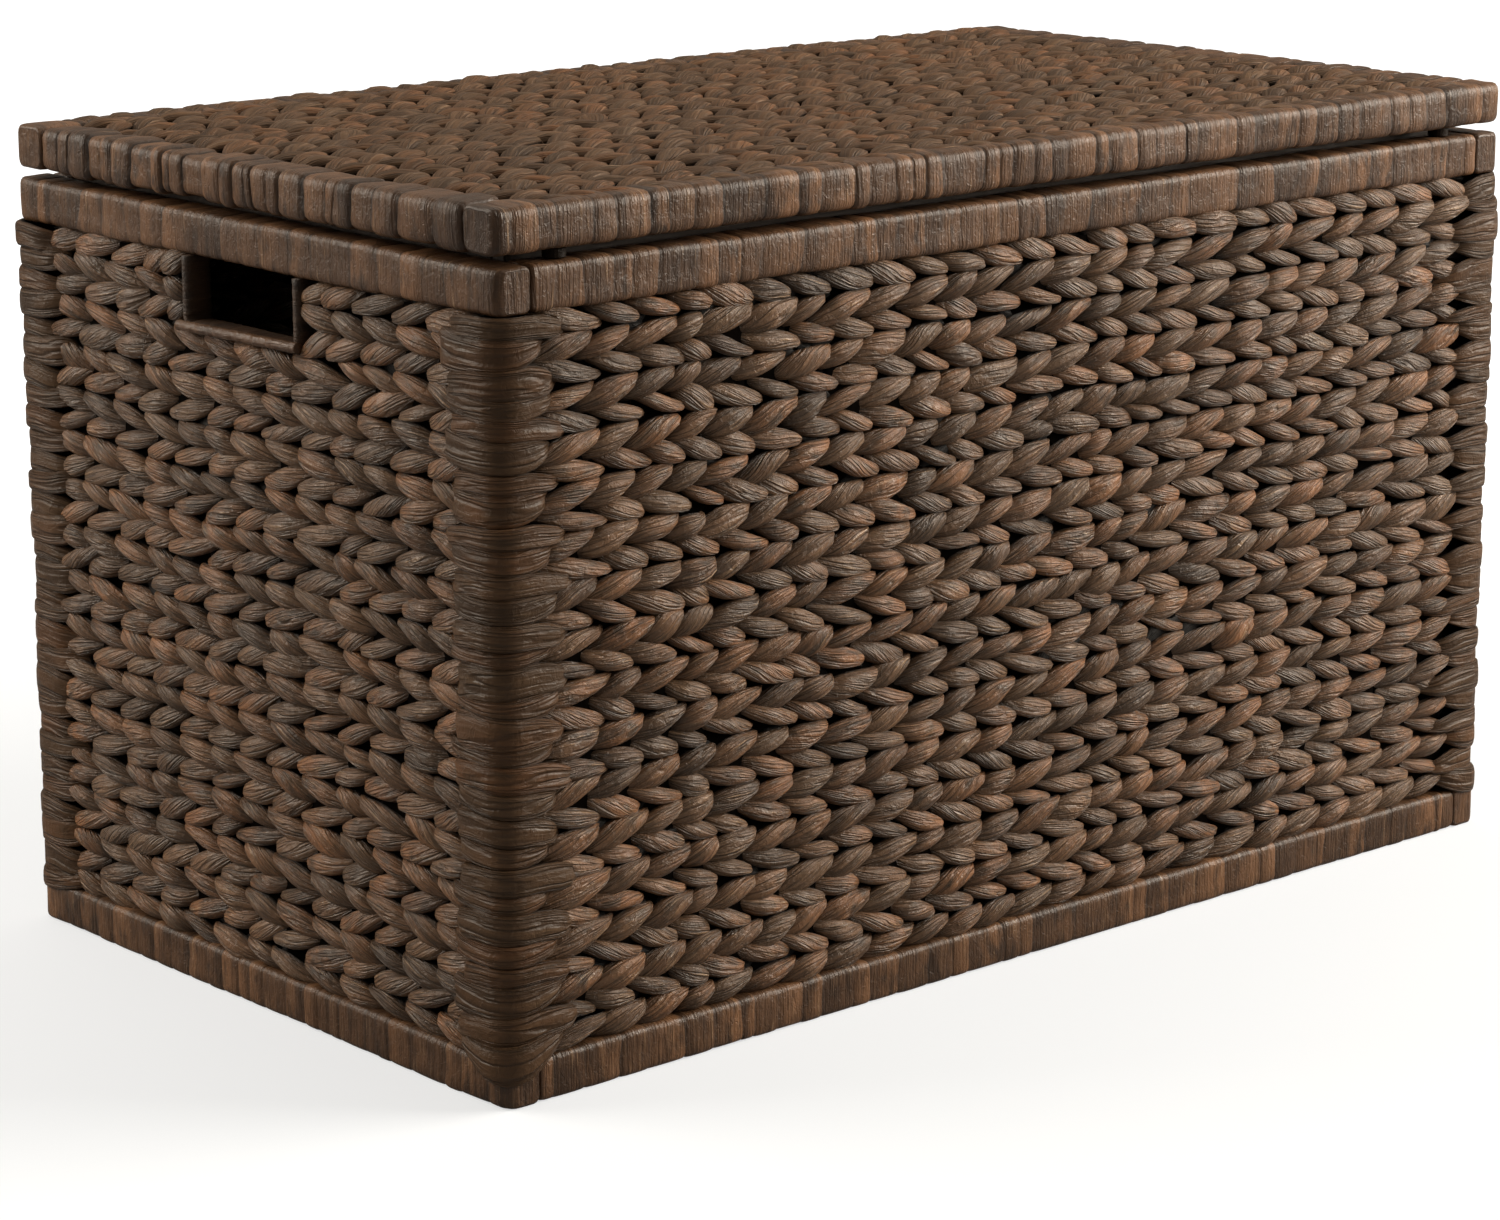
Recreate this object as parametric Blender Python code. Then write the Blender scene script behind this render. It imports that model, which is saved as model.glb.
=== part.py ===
"""Woven storage chest: a wooden frame with twined water-hyacinth walls and a hinged, woven lid.

Metres, +Z up. The origin is the middle of the footprint, on the floor. +X runs along the length,
-Y is the front and +Y is the back, where the lid is hinged.
"""

import math

import bmesh
import bpy

# ---- Driving dimensions ----
CHEST_LENGTH = 0.765  # over the base rails, along X
CHEST_DEPTH = 0.430  # over the base rails, along Y
CHEST_HEIGHT = 0.457  # floor to the top of the lid
RAIL_HEIGHT = 0.024  # base and rim rails
RAIL_THICKNESS = 0.022
LID_THICKNESS = 0.024
LID_RAIL_WIDTH = 0.026
LID_GAP = 0.0055  # between the rim and the closed lid, filled by the hinge leaves and the bumpers
RIM_INSET = 0.002  # how far the rim and the lid stand in from the base rails
WALL_THICKNESS = 0.017  # twined wall, from the front of its lobes to the back
CORNER_LEG = 0.038  # how far a corner wrap reaches along each wall
CORNER_PROUD = 0.0015  # how far a corner wrap stands out from the base rails
CORNER_RADIUS = 0.016
CORNER_STEPS = 8  # flats round that radius
POST_SIZE = 0.022
FIT_GAP = 0.0003  # between pieces that touch

# ---- Rounded edges ----
BASE_EDGE = 0.003
RIM_EDGE = 0.004
WALL_EDGE = 0.003
PANEL_EDGE = 0.002
POST_EDGE = 0.0015
WOOD_EDGE = 0.001
HOLE_EDGE = 0.0012

# ---- Hand holes, just under the side rims ----
HOLE_WIDTH = 0.093
HOLE_HEIGHT = 0.034
HOLE_FRAME = 0.006  # thickness of the U-shaped frame round each hole

# ---- Floor ----
BOARD_THICKNESS = 0.006
CROSSBAR_WIDTH = 0.022
CROSSBAR_HEIGHT = 0.020
CROSSBAR_X = 0.130

# ---- Lid stiffeners, lip and bumpers ----
PANEL_TOP_DROP = 0.0005  # the woven panel's top, below the lid rails' top
BRACE_WIDTH = 0.040
BRACE_THICKNESS = 0.005
BRACE_X = 0.150
LIP_THICKNESS = 0.010  # battens under the front and the ends of the lid, just inside the rim
LIP_DROP = 0.0105  # how far they hang below the lid rails
BUMPER_RADIUS = 0.006
BUMPER_CHAMFER = 0.0006
BUMPER_INSET = 0.045  # from the ends of the front rail

# ---- Hinges ----
HINGE_X = 0.205  # the middle of each hinge, from the middle of the chest
LEAF_WIDTH = 0.046
LEAF_PLATE = 0.0017
LEAF_DROP = 0.046  # how far the chest's leaf hangs down inside the back rim
LID_LEAF_REACH = 0.044
KNUCKLE_RADIUS = 0.0030
KNUCKLE_BORE = 0.0015
PIN_RADIUS = 0.0012
PIN_OVERHANG = 0.001  # past each end of the knuckles
MIDDLE_KNUCKLE = 0.020
KNUCKLE_GAP = 0.0004
TAB_LAP = 0.001  # how far a knuckle's tab runs into the plate
BORE_MARGIN = 0.0002
SCREW_HEAD_RADIUS = 0.0032
SCREW_HEAD_HEIGHT = 0.0010
SCREW_SHANK_RADIUS = 0.0014
SCREW_LENGTH = 0.012
SCREW_OFFSET = 0.013  # from the middle of a hinge, along X

# ---- Levels and faces worked out from the above ----
LID_BOTTOM = CHEST_HEIGHT - LID_THICKNESS
RIM_TOP = LID_BOTTOM - LID_GAP
RIM_BOTTOM = RIM_TOP - RAIL_HEIGHT
HALF_LENGTH = CHEST_LENGTH / 2
HALF_DEPTH = CHEST_DEPTH / 2
RIM_HALF_LENGTH = HALF_LENGTH - RIM_INSET
RIM_HALF_DEPTH = HALF_DEPTH - RIM_INSET
INSIDE_X = HALF_LENGTH - WALL_THICKNESS - FIT_GAP  # what lies against the inside of the walls
INSIDE_Y = HALF_DEPTH - WALL_THICKNESS - FIT_GAP
WALL_BOTTOM = RAIL_HEIGHT + FIT_GAP
WALL_TOP = RIM_BOTTOM - FIT_GAP
PIN_Y = RIM_HALF_DEPTH
PIN_Z = RIM_TOP + LID_GAP / 2

LEAF_BROWN = (0.085, 0.052, 0.034)
RAIL_BROWN = (0.120, 0.068, 0.042)
STAINED_WOOD = (0.095, 0.050, 0.028)
BOARD_BROWN = (0.110, 0.064, 0.038)
BLACK_STEEL = (0.020, 0.020, 0.022)
PIN_STEEL = (0.120, 0.120, 0.125)
BUMPER_FELT = (0.060, 0.050, 0.045)


def clear_scene():
    for item in list(bpy.data.objects):
        bpy.data.objects.remove(item, do_unlink=True)


def finish(name, colour, roughness, metallic=0.0):
    """The Principled material of that name, made once."""
    made = bpy.data.materials.get(name)
    if made is None:
        made = bpy.data.materials.new(name)
        made.use_nodes = True
        shader = made.node_tree.nodes["Principled BSDF"]
        shader.inputs["Base Color"].default_value = (*colour, 1.0)
        shader.inputs["Roughness"].default_value = roughness
        shader.inputs["Metallic"].default_value = metallic
    return made


def woven_leaf():
    return finish("woven_leaf", LEAF_BROWN, 0.60)


def wrapped_leaf():
    return finish("wrapped_leaf", RAIL_BROWN, 0.55)


def stained_wood():
    return finish("stained_wood", STAINED_WOOD, 0.50)


def black_steel():
    return finish("black_steel", BLACK_STEEL, 0.35, 1.0)


def add_part(name, mesh, material, parent, location=(0, 0, 0), rotation=(0, 0, 0)):
    """One named object for one physical piece."""
    part = bpy.data.objects.new(name, mesh)
    bpy.context.scene.collection.objects.link(part)
    part.location = location
    part.rotation_euler = rotation
    part.parent = parent
    if material is not None:
        part.data.materials.clear()
        part.data.materials.append(material)
    return part


def add_group(name, location=(0, 0, 0)):
    empty = bpy.data.objects.new(name, None)
    bpy.context.scene.collection.objects.link(empty)
    empty.location = location
    return empty


def as_mesh(name, shape):
    bmesh.ops.recalc_face_normals(shape, faces=shape.faces)
    mesh = bpy.data.meshes.new(name)
    shape.to_mesh(mesh)
    shape.free()
    return mesh


def box_mesh(name, size):
    shape = bmesh.new()
    bmesh.ops.create_cube(shape, size=1.0)
    bmesh.ops.scale(shape, vec=size, verts=shape.verts)
    return as_mesh(name, shape)


def prism_mesh(name, outline, height):
    """A flat outline in X and Y, raised along +Z."""
    shape = bmesh.new()
    face = shape.faces.new([shape.verts.new((x, y, 0.0)) for x, y in outline])
    raised = bmesh.ops.extrude_face_region(shape, geom=[face])["geom"]
    top = [item for item in raised if isinstance(item, bmesh.types.BMVert)]
    bmesh.ops.translate(shape, vec=(0.0, 0.0, height), verts=top)
    return as_mesh(name, shape)


def turned_mesh(name, profile, segments=20):
    """A solid of revolution about Z. profile is (radius, z) from bottom to top, on the axis at both ends."""
    shape = bmesh.new()
    rings = []
    for radius, z in profile[1:-1]:
        turns = [2 * math.pi * step / segments for step in range(segments)]
        rings.append([shape.verts.new((radius * math.cos(a), radius * math.sin(a), z)) for a in turns])
    for low, high in zip(rings, rings[1:]):
        for step in range(segments):
            after = (step + 1) % segments
            shape.faces.new((low[step], low[after], high[after], high[step]))
    for ring, (_, z) in ((rings[0], profile[0]), (rings[-1], profile[-1])):
        middle = shape.verts.new((0.0, 0.0, z))
        for step in range(segments):
            shape.faces.new((ring[step], ring[(step + 1) % segments], middle))
    return as_mesh(name, shape)


def round_edges(part, radius, segments=2):
    bevel = part.modifiers.new("rounded_edges", "BEVEL")
    bevel.width = radius
    bevel.segments = segments
    bevel.limit_method = "ANGLE"
    return part


def shade_round(part, angle=math.radians(35)):
    part.data.shade_smooth()
    part.data.set_sharp_from_angle(angle=angle)
    return part


def boolean(part, other, operation):
    """Cuts or joins another mesh object, which stays in the file as a hidden helper."""
    step = part.modifiers.new(operation.lower(), "BOOLEAN")
    step.operation = operation
    step.solver = "EXACT"
    step.object = other
    other.hide_render = True
    other.display_type = "WIRE"


def box_part(name, low, high, material, parent, radius=0.0, segments=2):
    """A block between two corners, in the chest's own coordinates, with rounded edges."""
    size = [b - a for a, b in zip(low, high)]
    middle = [(a + b) / 2 for a, b in zip(low, high)]
    offset = [m - p for m, p in zip(middle, parent.location)]
    part = add_part(name, box_mesh(name, size), material, parent, offset)
    return round_edges(part, radius, segments) if radius else part


def rail_ring(prefix, half_size, width, levels, parent, sides_run_through, radius):
    """Four rails round a rectangle. The pair that runs through covers the ends of the other pair."""
    half_length, half_depth = half_size
    bottom, top = levels
    material = wrapped_leaf()
    inner_x = half_length - width
    inner_y = half_depth - width
    x_end = inner_x - FIT_GAP if sides_run_through else half_length
    y_end = half_depth if sides_run_through else inner_y - FIT_GAP
    rails = {}
    for side, sign in (("front", -1), ("back", 1)):
        near, far = sorted((sign * inner_y, sign * half_depth))
        low, high = (-x_end, near, bottom), (x_end, far, top)
        rails[side] = box_part(f"{prefix}_{side}", low, high, material, parent, radius, 3)
    for side, sign in (("left", -1), ("right", 1)):
        near, far = sorted((sign * inner_x, sign * half_length))
        low, high = (near, -y_end, bottom), (far, y_end, top)
        rails[side] = box_part(f"{prefix}_{side}", low, high, material, parent, radius, 3)
    return rails


def make_floor(chest):
    """The base rails, two crossbars between them and the floor board that lies on top."""
    half_size = (HALF_LENGTH, HALF_DEPTH)
    rail_ring("base_rail", half_size, RAIL_THICKNESS, (0.0, RAIL_HEIGHT), chest, True, BASE_EDGE)
    reach = HALF_DEPTH - RAIL_THICKNESS - FIT_GAP
    for side, sign in (("left", -1), ("right", 1)):
        x = sign * CROSSBAR_X
        low = (x - CROSSBAR_WIDTH / 2, -reach, RAIL_HEIGHT - CROSSBAR_HEIGHT)
        high = (x + CROSSBAR_WIDTH / 2, reach, RAIL_HEIGHT)
        box_part(f"base_crossbar_{side}", low, high, stained_wood(), chest, WOOD_EDGE)
    board_x, board_y = INSIDE_X, INSIDE_Y
    notch_x = INSIDE_X - POST_SIZE - FIT_GAP
    notch_y = INSIDE_Y - POST_SIZE - FIT_GAP
    quarter = [(board_x, notch_y), (notch_x, notch_y), (notch_x, board_y)]
    outline = quarter + [(-x, y) for x, y in reversed(quarter)]
    outline += [(-x, -y) for x, y in quarter] + [(x, -y) for x, y in reversed(quarter)]
    board = prism_mesh("floor_board", outline, BOARD_THICKNESS)
    plywood = finish("floor_board", BOARD_BROWN, 0.65)
    add_part("floor_board", board, plywood, chest, (0, 0, RAIL_HEIGHT + FIT_GAP))


def corner_outline():
    """Plan of one corner wrap, in the +X +Y corner: an L with a round outer corner."""
    outer_x = HALF_LENGTH + CORNER_PROUD
    outer_y = HALF_DEPTH + CORNER_PROUD
    inner_x = HALF_LENGTH - WALL_THICKNESS
    inner_y = HALF_DEPTH - WALL_THICKNESS
    end_x = outer_x - CORNER_LEG
    end_y = outer_y - CORNER_LEG
    centre_x = outer_x - CORNER_RADIUS
    centre_y = outer_y - CORNER_RADIUS
    turns = [math.pi / 2 * step / CORNER_STEPS for step in range(CORNER_STEPS + 1)]
    arc = [
        (centre_x + CORNER_RADIUS * math.cos(turn), centre_y + CORNER_RADIUS * math.sin(turn))
        for turn in turns
    ]
    end = [(end_x, outer_y), (end_x, inner_y), (inner_x, inner_y)]
    return [(inner_x, end_y), (outer_x, end_y), *arc, *end]


def make_corners(chest):
    """A square post inside each corner, and the leaf bands wrapped round it."""
    outline = corner_outline()
    for y_name, y_sign in (("front", -1), ("back", 1)):
        for x_name, x_sign in (("left", -1), ("right", 1)):
            place = f"{y_name}_{x_name}"
            points = [(x * x_sign, y * y_sign) for x, y in outline]
            wrap = prism_mesh(f"corner_wrap_{place}", points, WALL_TOP - WALL_BOTTOM)
            part = add_part(f"corner_wrap_{place}", wrap, woven_leaf(), chest, (0, 0, WALL_BOTTOM))
            shade_round(part)
            x = x_sign * (INSIDE_X - POST_SIZE / 2)
            y = y_sign * (INSIDE_Y - POST_SIZE / 2)
            half = POST_SIZE / 2
            low, high = (x - half, y - half, WALL_BOTTOM), (x + half, y + half, WALL_TOP)
            box_part(f"corner_post_{place}", low, high, stained_wood(), chest, POST_EDGE)


def make_walls(chest):
    """Four twined walls between the corner wraps. The side walls are notched for the hand holes."""
    x_end = HALF_LENGTH + CORNER_PROUD - CORNER_LEG - FIT_GAP
    y_end = HALF_DEPTH + CORNER_PROUD - CORNER_LEG - FIT_GAP
    for side, sign in (("front", -1), ("back", 1)):
        near, far = sorted((sign * (HALF_DEPTH - WALL_THICKNESS), sign * HALF_DEPTH))
        low, high = (-x_end, near, WALL_BOTTOM), (x_end, far, WALL_TOP)
        box_part(f"woven_wall_{side}", low, high, woven_leaf(), chest, WALL_EDGE)
    notch_half = HOLE_WIDTH / 2 + HOLE_FRAME + FIT_GAP
    notch_depth = HOLE_HEIGHT + HOLE_FRAME + FIT_GAP
    for side, sign in (("left", -1), ("right", 1)):
        near, far = sorted((sign * (HALF_LENGTH - WALL_THICKNESS), sign * HALF_LENGTH))
        bottom = WALL_TOP - notch_depth
        outline = [
            (-y_end, WALL_BOTTOM),
            (y_end, WALL_BOTTOM),
            (y_end, WALL_TOP),
            (notch_half, WALL_TOP),
            (notch_half, bottom),
            (-notch_half, bottom),
            (-notch_half, WALL_TOP),
            (-y_end, WALL_TOP),
        ]
        mesh = prism_mesh(f"woven_wall_{side}", outline, far - near)
        turn = (math.pi / 2, 0.0, math.pi / 2)
        add_part(f"woven_wall_{side}", mesh, woven_leaf(), chest, (near, 0, 0), turn)


def make_hand_holes(chest):
    """A U-shaped frame lines each hand hole. The rim rail closes it at the top."""
    outer = HOLE_WIDTH / 2 + HOLE_FRAME
    inner = HOLE_WIDTH / 2
    floor = WALL_TOP - HOLE_HEIGHT
    outline = [
        (-outer, floor - HOLE_FRAME),
        (outer, floor - HOLE_FRAME),
        (outer, WALL_TOP),
        (inner, WALL_TOP),
        (inner, floor),
        (-inner, floor),
        (-inner, WALL_TOP),
        (-outer, WALL_TOP),
    ]
    for side, sign in (("left", -1), ("right", 1)):
        near, far = sorted((sign * (HALF_LENGTH - WALL_THICKNESS), sign * HALF_LENGTH))
        mesh = prism_mesh(f"hand_hole_frame_{side}", outline, far - near)
        turn = (math.pi / 2, 0.0, math.pi / 2)
        frame = add_part(f"hand_hole_frame_{side}", mesh, wrapped_leaf(), chest, (near, 0, 0), turn)
        round_edges(frame, HOLE_EDGE, 1)


def make_rim(chest):
    half_size = (RIM_HALF_LENGTH, RIM_HALF_DEPTH)
    return rail_ring("rim_rail", half_size, RAIL_THICKNESS, (RIM_BOTTOM, RIM_TOP), chest, True, RIM_EDGE)


def make_bumper(side, sign, lid):
    """One felt disc that the front of the closed lid rests on."""
    height = LID_GAP - 2 * FIT_GAP
    edge = BUMPER_RADIUS - BUMPER_CHAMFER
    profile = [(0, 0), (edge, 0), (BUMPER_RADIUS, BUMPER_CHAMFER), (BUMPER_RADIUS, height), (0, height)]
    x = sign * (RIM_HALF_LENGTH - BUMPER_INSET)
    y = -(RIM_HALF_DEPTH - RAIL_THICKNESS / 2)
    offset = [a - b for a, b in zip((x, y, RIM_TOP + FIT_GAP), lid.location)]
    mesh = turned_mesh(f"bumper_{side}", profile)
    shade_round(add_part(f"bumper_{side}", mesh, finish("bumper_felt", BUMPER_FELT, 0.95), lid, offset))


def make_lid(lid):
    """The lid's rails, its woven panel, the slats that stiffen it, its lip and the bumpers it rests on."""
    half_size = (RIM_HALF_LENGTH, RIM_HALF_DEPTH)
    levels = (LID_BOTTOM, CHEST_HEIGHT)
    rails = rail_ring("lid_rail", half_size, LID_RAIL_WIDTH, levels, lid, False, RIM_EDGE)
    panel_x = RIM_HALF_LENGTH - LID_RAIL_WIDTH - FIT_GAP
    panel_y = RIM_HALF_DEPTH - LID_RAIL_WIDTH - FIT_GAP
    panel_top = CHEST_HEIGHT - PANEL_TOP_DROP
    low, high = (-panel_x, -panel_y, panel_top - WALL_THICKNESS), (panel_x, panel_y, panel_top)
    box_part("lid_panel", low, high, woven_leaf(), lid, PANEL_EDGE)
    under = panel_top - WALL_THICKNESS - FIT_GAP
    lip_bottom = LID_BOTTOM - LIP_DROP
    low = (-panel_x, -panel_y, lip_bottom)
    high = (panel_x, -panel_y + LIP_THICKNESS, under)
    box_part("lid_lip_front", low, high, stained_wood(), lid, WOOD_EDGE)
    behind_lip = -panel_y + LIP_THICKNESS + FIT_GAP
    for side, sign in (("left", -1), ("right", 1)):
        near, far = sorted((sign * panel_x, sign * (panel_x - LIP_THICKNESS)))
        low, high = (near, behind_lip, lip_bottom), (far, panel_y, under)
        box_part(f"lid_lip_{side}", low, high, stained_wood(), lid, WOOD_EDGE)
        x = sign * BRACE_X
        low = (x - BRACE_WIDTH / 2, behind_lip, under - BRACE_THICKNESS)
        high = (x + BRACE_WIDTH / 2, panel_y, under)
        box_part(f"lid_brace_{side}", low, high, stained_wood(), lid, WOOD_EDGE)
        make_bumper(side, sign, lid)
    return rails


def rod(name, radius, length, parent, location, material=None, segments=20):
    """A cylinder along X, centred on its location in the chest's coordinates."""
    profile = [(0, -length / 2), (radius, -length / 2), (radius, length / 2), (0, length / 2)]
    offset = [a - b for a, b in zip(location, parent.location)]
    mesh = turned_mesh(name, profile, segments)
    return add_part(name, mesh, material, parent, offset, (0, math.pi / 2, 0))


def make_leaf(name, parent, x, plate_outline, knuckles, tab_z):
    """One hinge leaf: a bent plate, with its knuckles joined on by short tabs and bored for the pin."""
    turn = (math.pi / 2, 0.0, math.pi / 2)
    place = [a - b for a, b in zip((x - LEAF_WIDTH / 2, 0.0, 0.0), parent.location)]
    mesh = prism_mesh(name, plate_outline, LEAF_WIDTH)
    leaf = add_part(name, mesh, black_steel(), parent, place, turn)
    for number, (start, end) in enumerate(knuckles):
        middle = x + (start + end) / 2
        barrel = rod(f"{name}_knuckle_{number}", KNUCKLE_RADIUS, end - start, parent, (middle, PIN_Y, PIN_Z))
        boolean(leaf, barrel, "UNION")
        low = (x + start, PIN_Y - KNUCKLE_RADIUS - 2 * KNUCKLE_GAP - TAB_LAP, tab_z)
        high = (x + end, PIN_Y - KNUCKLE_BORE - BORE_MARGIN, tab_z + LEAF_PLATE)
        tab = box_part(f"{name}_tab_{number}", low, high, None, parent)
        boolean(leaf, tab, "UNION")
    bore = rod(f"{name}_bore", KNUCKLE_BORE, LEAF_WIDTH * 1.2, parent, (x, PIN_Y, PIN_Z))
    boolean(leaf, bore, "DIFFERENCE")
    return leaf


def make_screw(name, parent, location, rotation, cut_from):
    """A round-headed screw along its own -Z, and the clearance that it needs in what it goes through."""
    gap = FIT_GAP
    head, height = SCREW_HEAD_RADIUS, SCREW_HEAD_HEIGHT
    shank, tip = SCREW_SHANK_RADIUS, -SCREW_LENGTH
    profile = [
        (0, tip),
        (shank * 0.4, tip),
        (shank, tip * 0.75),
        (shank, gap),
        (head, gap),
        (head, height * 0.4),
        (head * 0.8, height * 0.85),
        (0, height),
    ]
    offset = [a - b for a, b in zip(location, parent.location)]
    screw = add_part(name, turned_mesh(name, profile, 14), black_steel(), parent, offset, rotation)
    shade_round(screw)
    hole = [(0, tip - gap), (shank + gap, tip - gap), (shank + gap, height), (0, height)]
    cutter = add_part(f"{name}_hole", turned_mesh(f"{name}_hole", hole, 14), None, parent, offset, rotation)
    for part in cut_from:
        boolean(part, cutter, "DIFFERENCE")


def make_hinges(chest, lid, rim_back, lid_back):
    """Two black steel hinges. Each leaf lies in the gap under the lid, its knuckles on the pin behind."""
    half_middle = MIDDLE_KNUCKLE / 2
    half_leaf = LEAF_WIDTH / 2
    outer_knuckles = [(-half_leaf, -half_middle - KNUCKLE_GAP), (half_middle + KNUCKLE_GAP, half_leaf)]
    plate_end = PIN_Y - KNUCKLE_RADIUS - KNUCKLE_GAP
    inner_face = RIM_HALF_DEPTH - RAIL_THICKNESS - FIT_GAP
    body_low = RIM_TOP + FIT_GAP
    body_plate = [
        (plate_end, body_low),
        (plate_end, body_low + LEAF_PLATE),
        (inner_face - LEAF_PLATE, body_low + LEAF_PLATE),
        (inner_face - LEAF_PLATE, RIM_TOP - LEAF_DROP),
        (inner_face, RIM_TOP - LEAF_DROP),
        (inner_face, body_low),
    ]
    lid_top = LID_BOTTOM - FIT_GAP
    dark_steel = finish("pin_steel", PIN_STEEL, 0.3, 1.0)
    lid_plate = [
        (plate_end, lid_top - LEAF_PLATE),
        (plate_end, lid_top),
        (PIN_Y - LID_LEAF_REACH, lid_top),
        (PIN_Y - LID_LEAF_REACH, lid_top - LEAF_PLATE),
    ]
    for side, sign in (("left", -1), ("right", 1)):
        x = sign * HINGE_X
        chest_leaf = make_leaf(f"hinge_leaf_chest_{side}", chest, x, body_plate, outer_knuckles, body_low)
        middle = [(-half_middle, half_middle)]
        lid_leaf = make_leaf(f"hinge_leaf_lid_{side}", lid, x, lid_plate, middle, lid_top - LEAF_PLATE)
        pin_length = LEAF_WIDTH + 2 * PIN_OVERHANG
        place = (x, PIN_Y, PIN_Z)
        shade_round(rod(f"hinge_pin_{side}", PIN_RADIUS, pin_length, chest, place, dark_steel, 16))
        for number, step in enumerate((-1, 1)):
            screw_x = x + step * SCREW_OFFSET
            label = f"{side}_{number + 1}"
            backwards = (math.pi / 2, 0.0, 0.0)
            place = (screw_x, inner_face - LEAF_PLATE, RIM_TOP - RAIL_HEIGHT / 2)
            make_screw(f"hinge_screw_chest_{label}", chest, place, backwards, [chest_leaf, rim_back])
            upwards = (math.pi, 0.0, 0.0)
            place = (screw_x, PIN_Y - LID_RAIL_WIDTH / 2, lid_top - LEAF_PLATE)
            make_screw(f"hinge_screw_lid_{label}", lid, place, upwards, [lid_leaf, lid_back])


def main():
    clear_scene()
    chest = add_group("chest")
    lid = add_group("lid", (0.0, PIN_Y, PIN_Z))
    make_floor(chest)
    make_corners(chest)
    make_walls(chest)
    make_hand_holes(chest)
    rim = make_rim(chest)
    lid_rails = make_lid(lid)
    make_hinges(chest, lid, rim["back"], lid_rails["back"])


main()
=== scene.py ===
"""A woven storage trunk: twined leaf walls and lid on leaf-wrapped rails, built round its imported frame."""

import math

import bpy
import numpy as np
from bpy.props import FloatProperty, FloatVectorProperty, IntProperty, PointerProperty
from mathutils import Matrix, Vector


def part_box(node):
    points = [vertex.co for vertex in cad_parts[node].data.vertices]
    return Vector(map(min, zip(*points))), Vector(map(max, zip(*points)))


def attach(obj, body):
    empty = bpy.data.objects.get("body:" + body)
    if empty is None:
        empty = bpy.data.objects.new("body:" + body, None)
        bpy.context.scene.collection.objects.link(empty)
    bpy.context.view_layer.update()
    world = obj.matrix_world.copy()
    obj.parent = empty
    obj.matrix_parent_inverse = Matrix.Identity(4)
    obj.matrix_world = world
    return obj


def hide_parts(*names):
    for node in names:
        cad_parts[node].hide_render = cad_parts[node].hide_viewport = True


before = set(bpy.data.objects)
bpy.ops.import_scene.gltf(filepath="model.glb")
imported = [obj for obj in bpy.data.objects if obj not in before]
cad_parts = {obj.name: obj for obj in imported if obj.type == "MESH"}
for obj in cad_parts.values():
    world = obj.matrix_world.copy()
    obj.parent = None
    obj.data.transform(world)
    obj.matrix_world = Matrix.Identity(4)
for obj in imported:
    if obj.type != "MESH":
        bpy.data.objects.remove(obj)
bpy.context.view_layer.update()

bl_info = {
    "name": "Woven Storage Trunk",
    "version": (1, 0, 0),
    "blender": (4, 5, 0),
    "location": "View3D > Sidebar > Woven Trunk",
    "description": "Builds the weave, wrapped rails, finishes and studio of a woven storage trunk",
    "category": "Add Mesh",
}

CHEST = "chest"
LID = "lid"
UP = np.array([0.0, 0.0, 1.0])
ALONG_X = np.array([1.0, 0.0, 0.0])
ALONG_Y = np.array([0.0, 1.0, 0.0])


# ---------------------------------------------------------------- settings


class WeaveSettings(bpy.types.PropertyGroup):
    """Sizes of the twined lobes on the walls and the lid."""

    wall_rows: IntProperty(name="Wall Rows", description="Twined rows up each wall", default=30, min=2)
    lid_rows: IntProperty(name="Lid Rows", description="Twined rows across the lid", default=28, min=2)
    pitch: FloatProperty(
        name="Lobe Pitch", description="Mean distance from one lobe to the next",
        default=0.0285, unit="LENGTH"
    )
    lobe_width: FloatProperty(
        name="Lobe Width", description="Half the width of a lobe, as a share of half its row's height",
        default=1.02
    )
    lobe_depth: FloatProperty(
        name="Lobe Depth", description="Half the thickness of a lobe at its fullest",
        default=0.0050, unit="LENGTH"
    )


class RailSettings(bpy.types.PropertyGroup):
    """Sizes of the leaf strips that are wound round the rails."""

    lid_strip: FloatProperty(
        name="Lid Strip", description="Mean width of a strip on the lid's rails",
        default=0.0140, unit="LENGTH"
    )
    body_strip: FloatProperty(
        name="Body Strip", description="Mean width of a strip on the rim and base rails",
        default=0.0185, unit="LENGTH"
    )
    lid_bulge: FloatProperty(
        name="Lid Bulge", description="How far a lid strip stands proud of its seams",
        default=0.0013, unit="LENGTH"
    )
    body_bulge: FloatProperty(
        name="Body Bulge", description="How far a rim or base strip stands proud",
        default=0.0003, unit="LENGTH"
    )


class FinishSettings(bpy.types.PropertyGroup):
    """Colours of the leaf, the wood and the steel."""

    leaf_dark: FloatVectorProperty(
        name="Leaf Dark", description="Deepest brown of the stained leaf",
        subtype="COLOR", default=(0.060, 0.032, 0.015)
    )
    leaf_mid: FloatVectorProperty(
        name="Leaf Mid", description="Grey brown of most lobes",
        subtype="COLOR", default=(0.184, 0.104, 0.055)
    )
    leaf_warm: FloatVectorProperty(
        name="Leaf Warm", description="Red brown of the warmer lobes",
        subtype="COLOR", default=(0.275, 0.118, 0.047)
    )
    # Pale fibres on the ridges: partly real wear, partly a painted highlight.
    leaf_pale: FloatVectorProperty(
        name="Leaf Pale", description="Worn fibres on the ridges", subtype="COLOR", default=(0.52, 0.34, 0.20)
    )
    rail_warm: FloatVectorProperty(
        name="Rail Warm", description="Warm brown of the rails",
        subtype="COLOR", default=(0.142, 0.068, 0.031)
    )
    # Kept this dark partly as painted shade, so the lid lip in the gap under the lid reads dark.
    wood: FloatVectorProperty(
        name="Wood", description="Stain of the hidden woodwork",
        subtype="COLOR", default=(0.036, 0.021, 0.013)
    )
    steel: FloatVectorProperty(
        name="Steel", description="Black coating of the hinges",
        subtype="COLOR", default=(0.012, 0.012, 0.013)
    )


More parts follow.
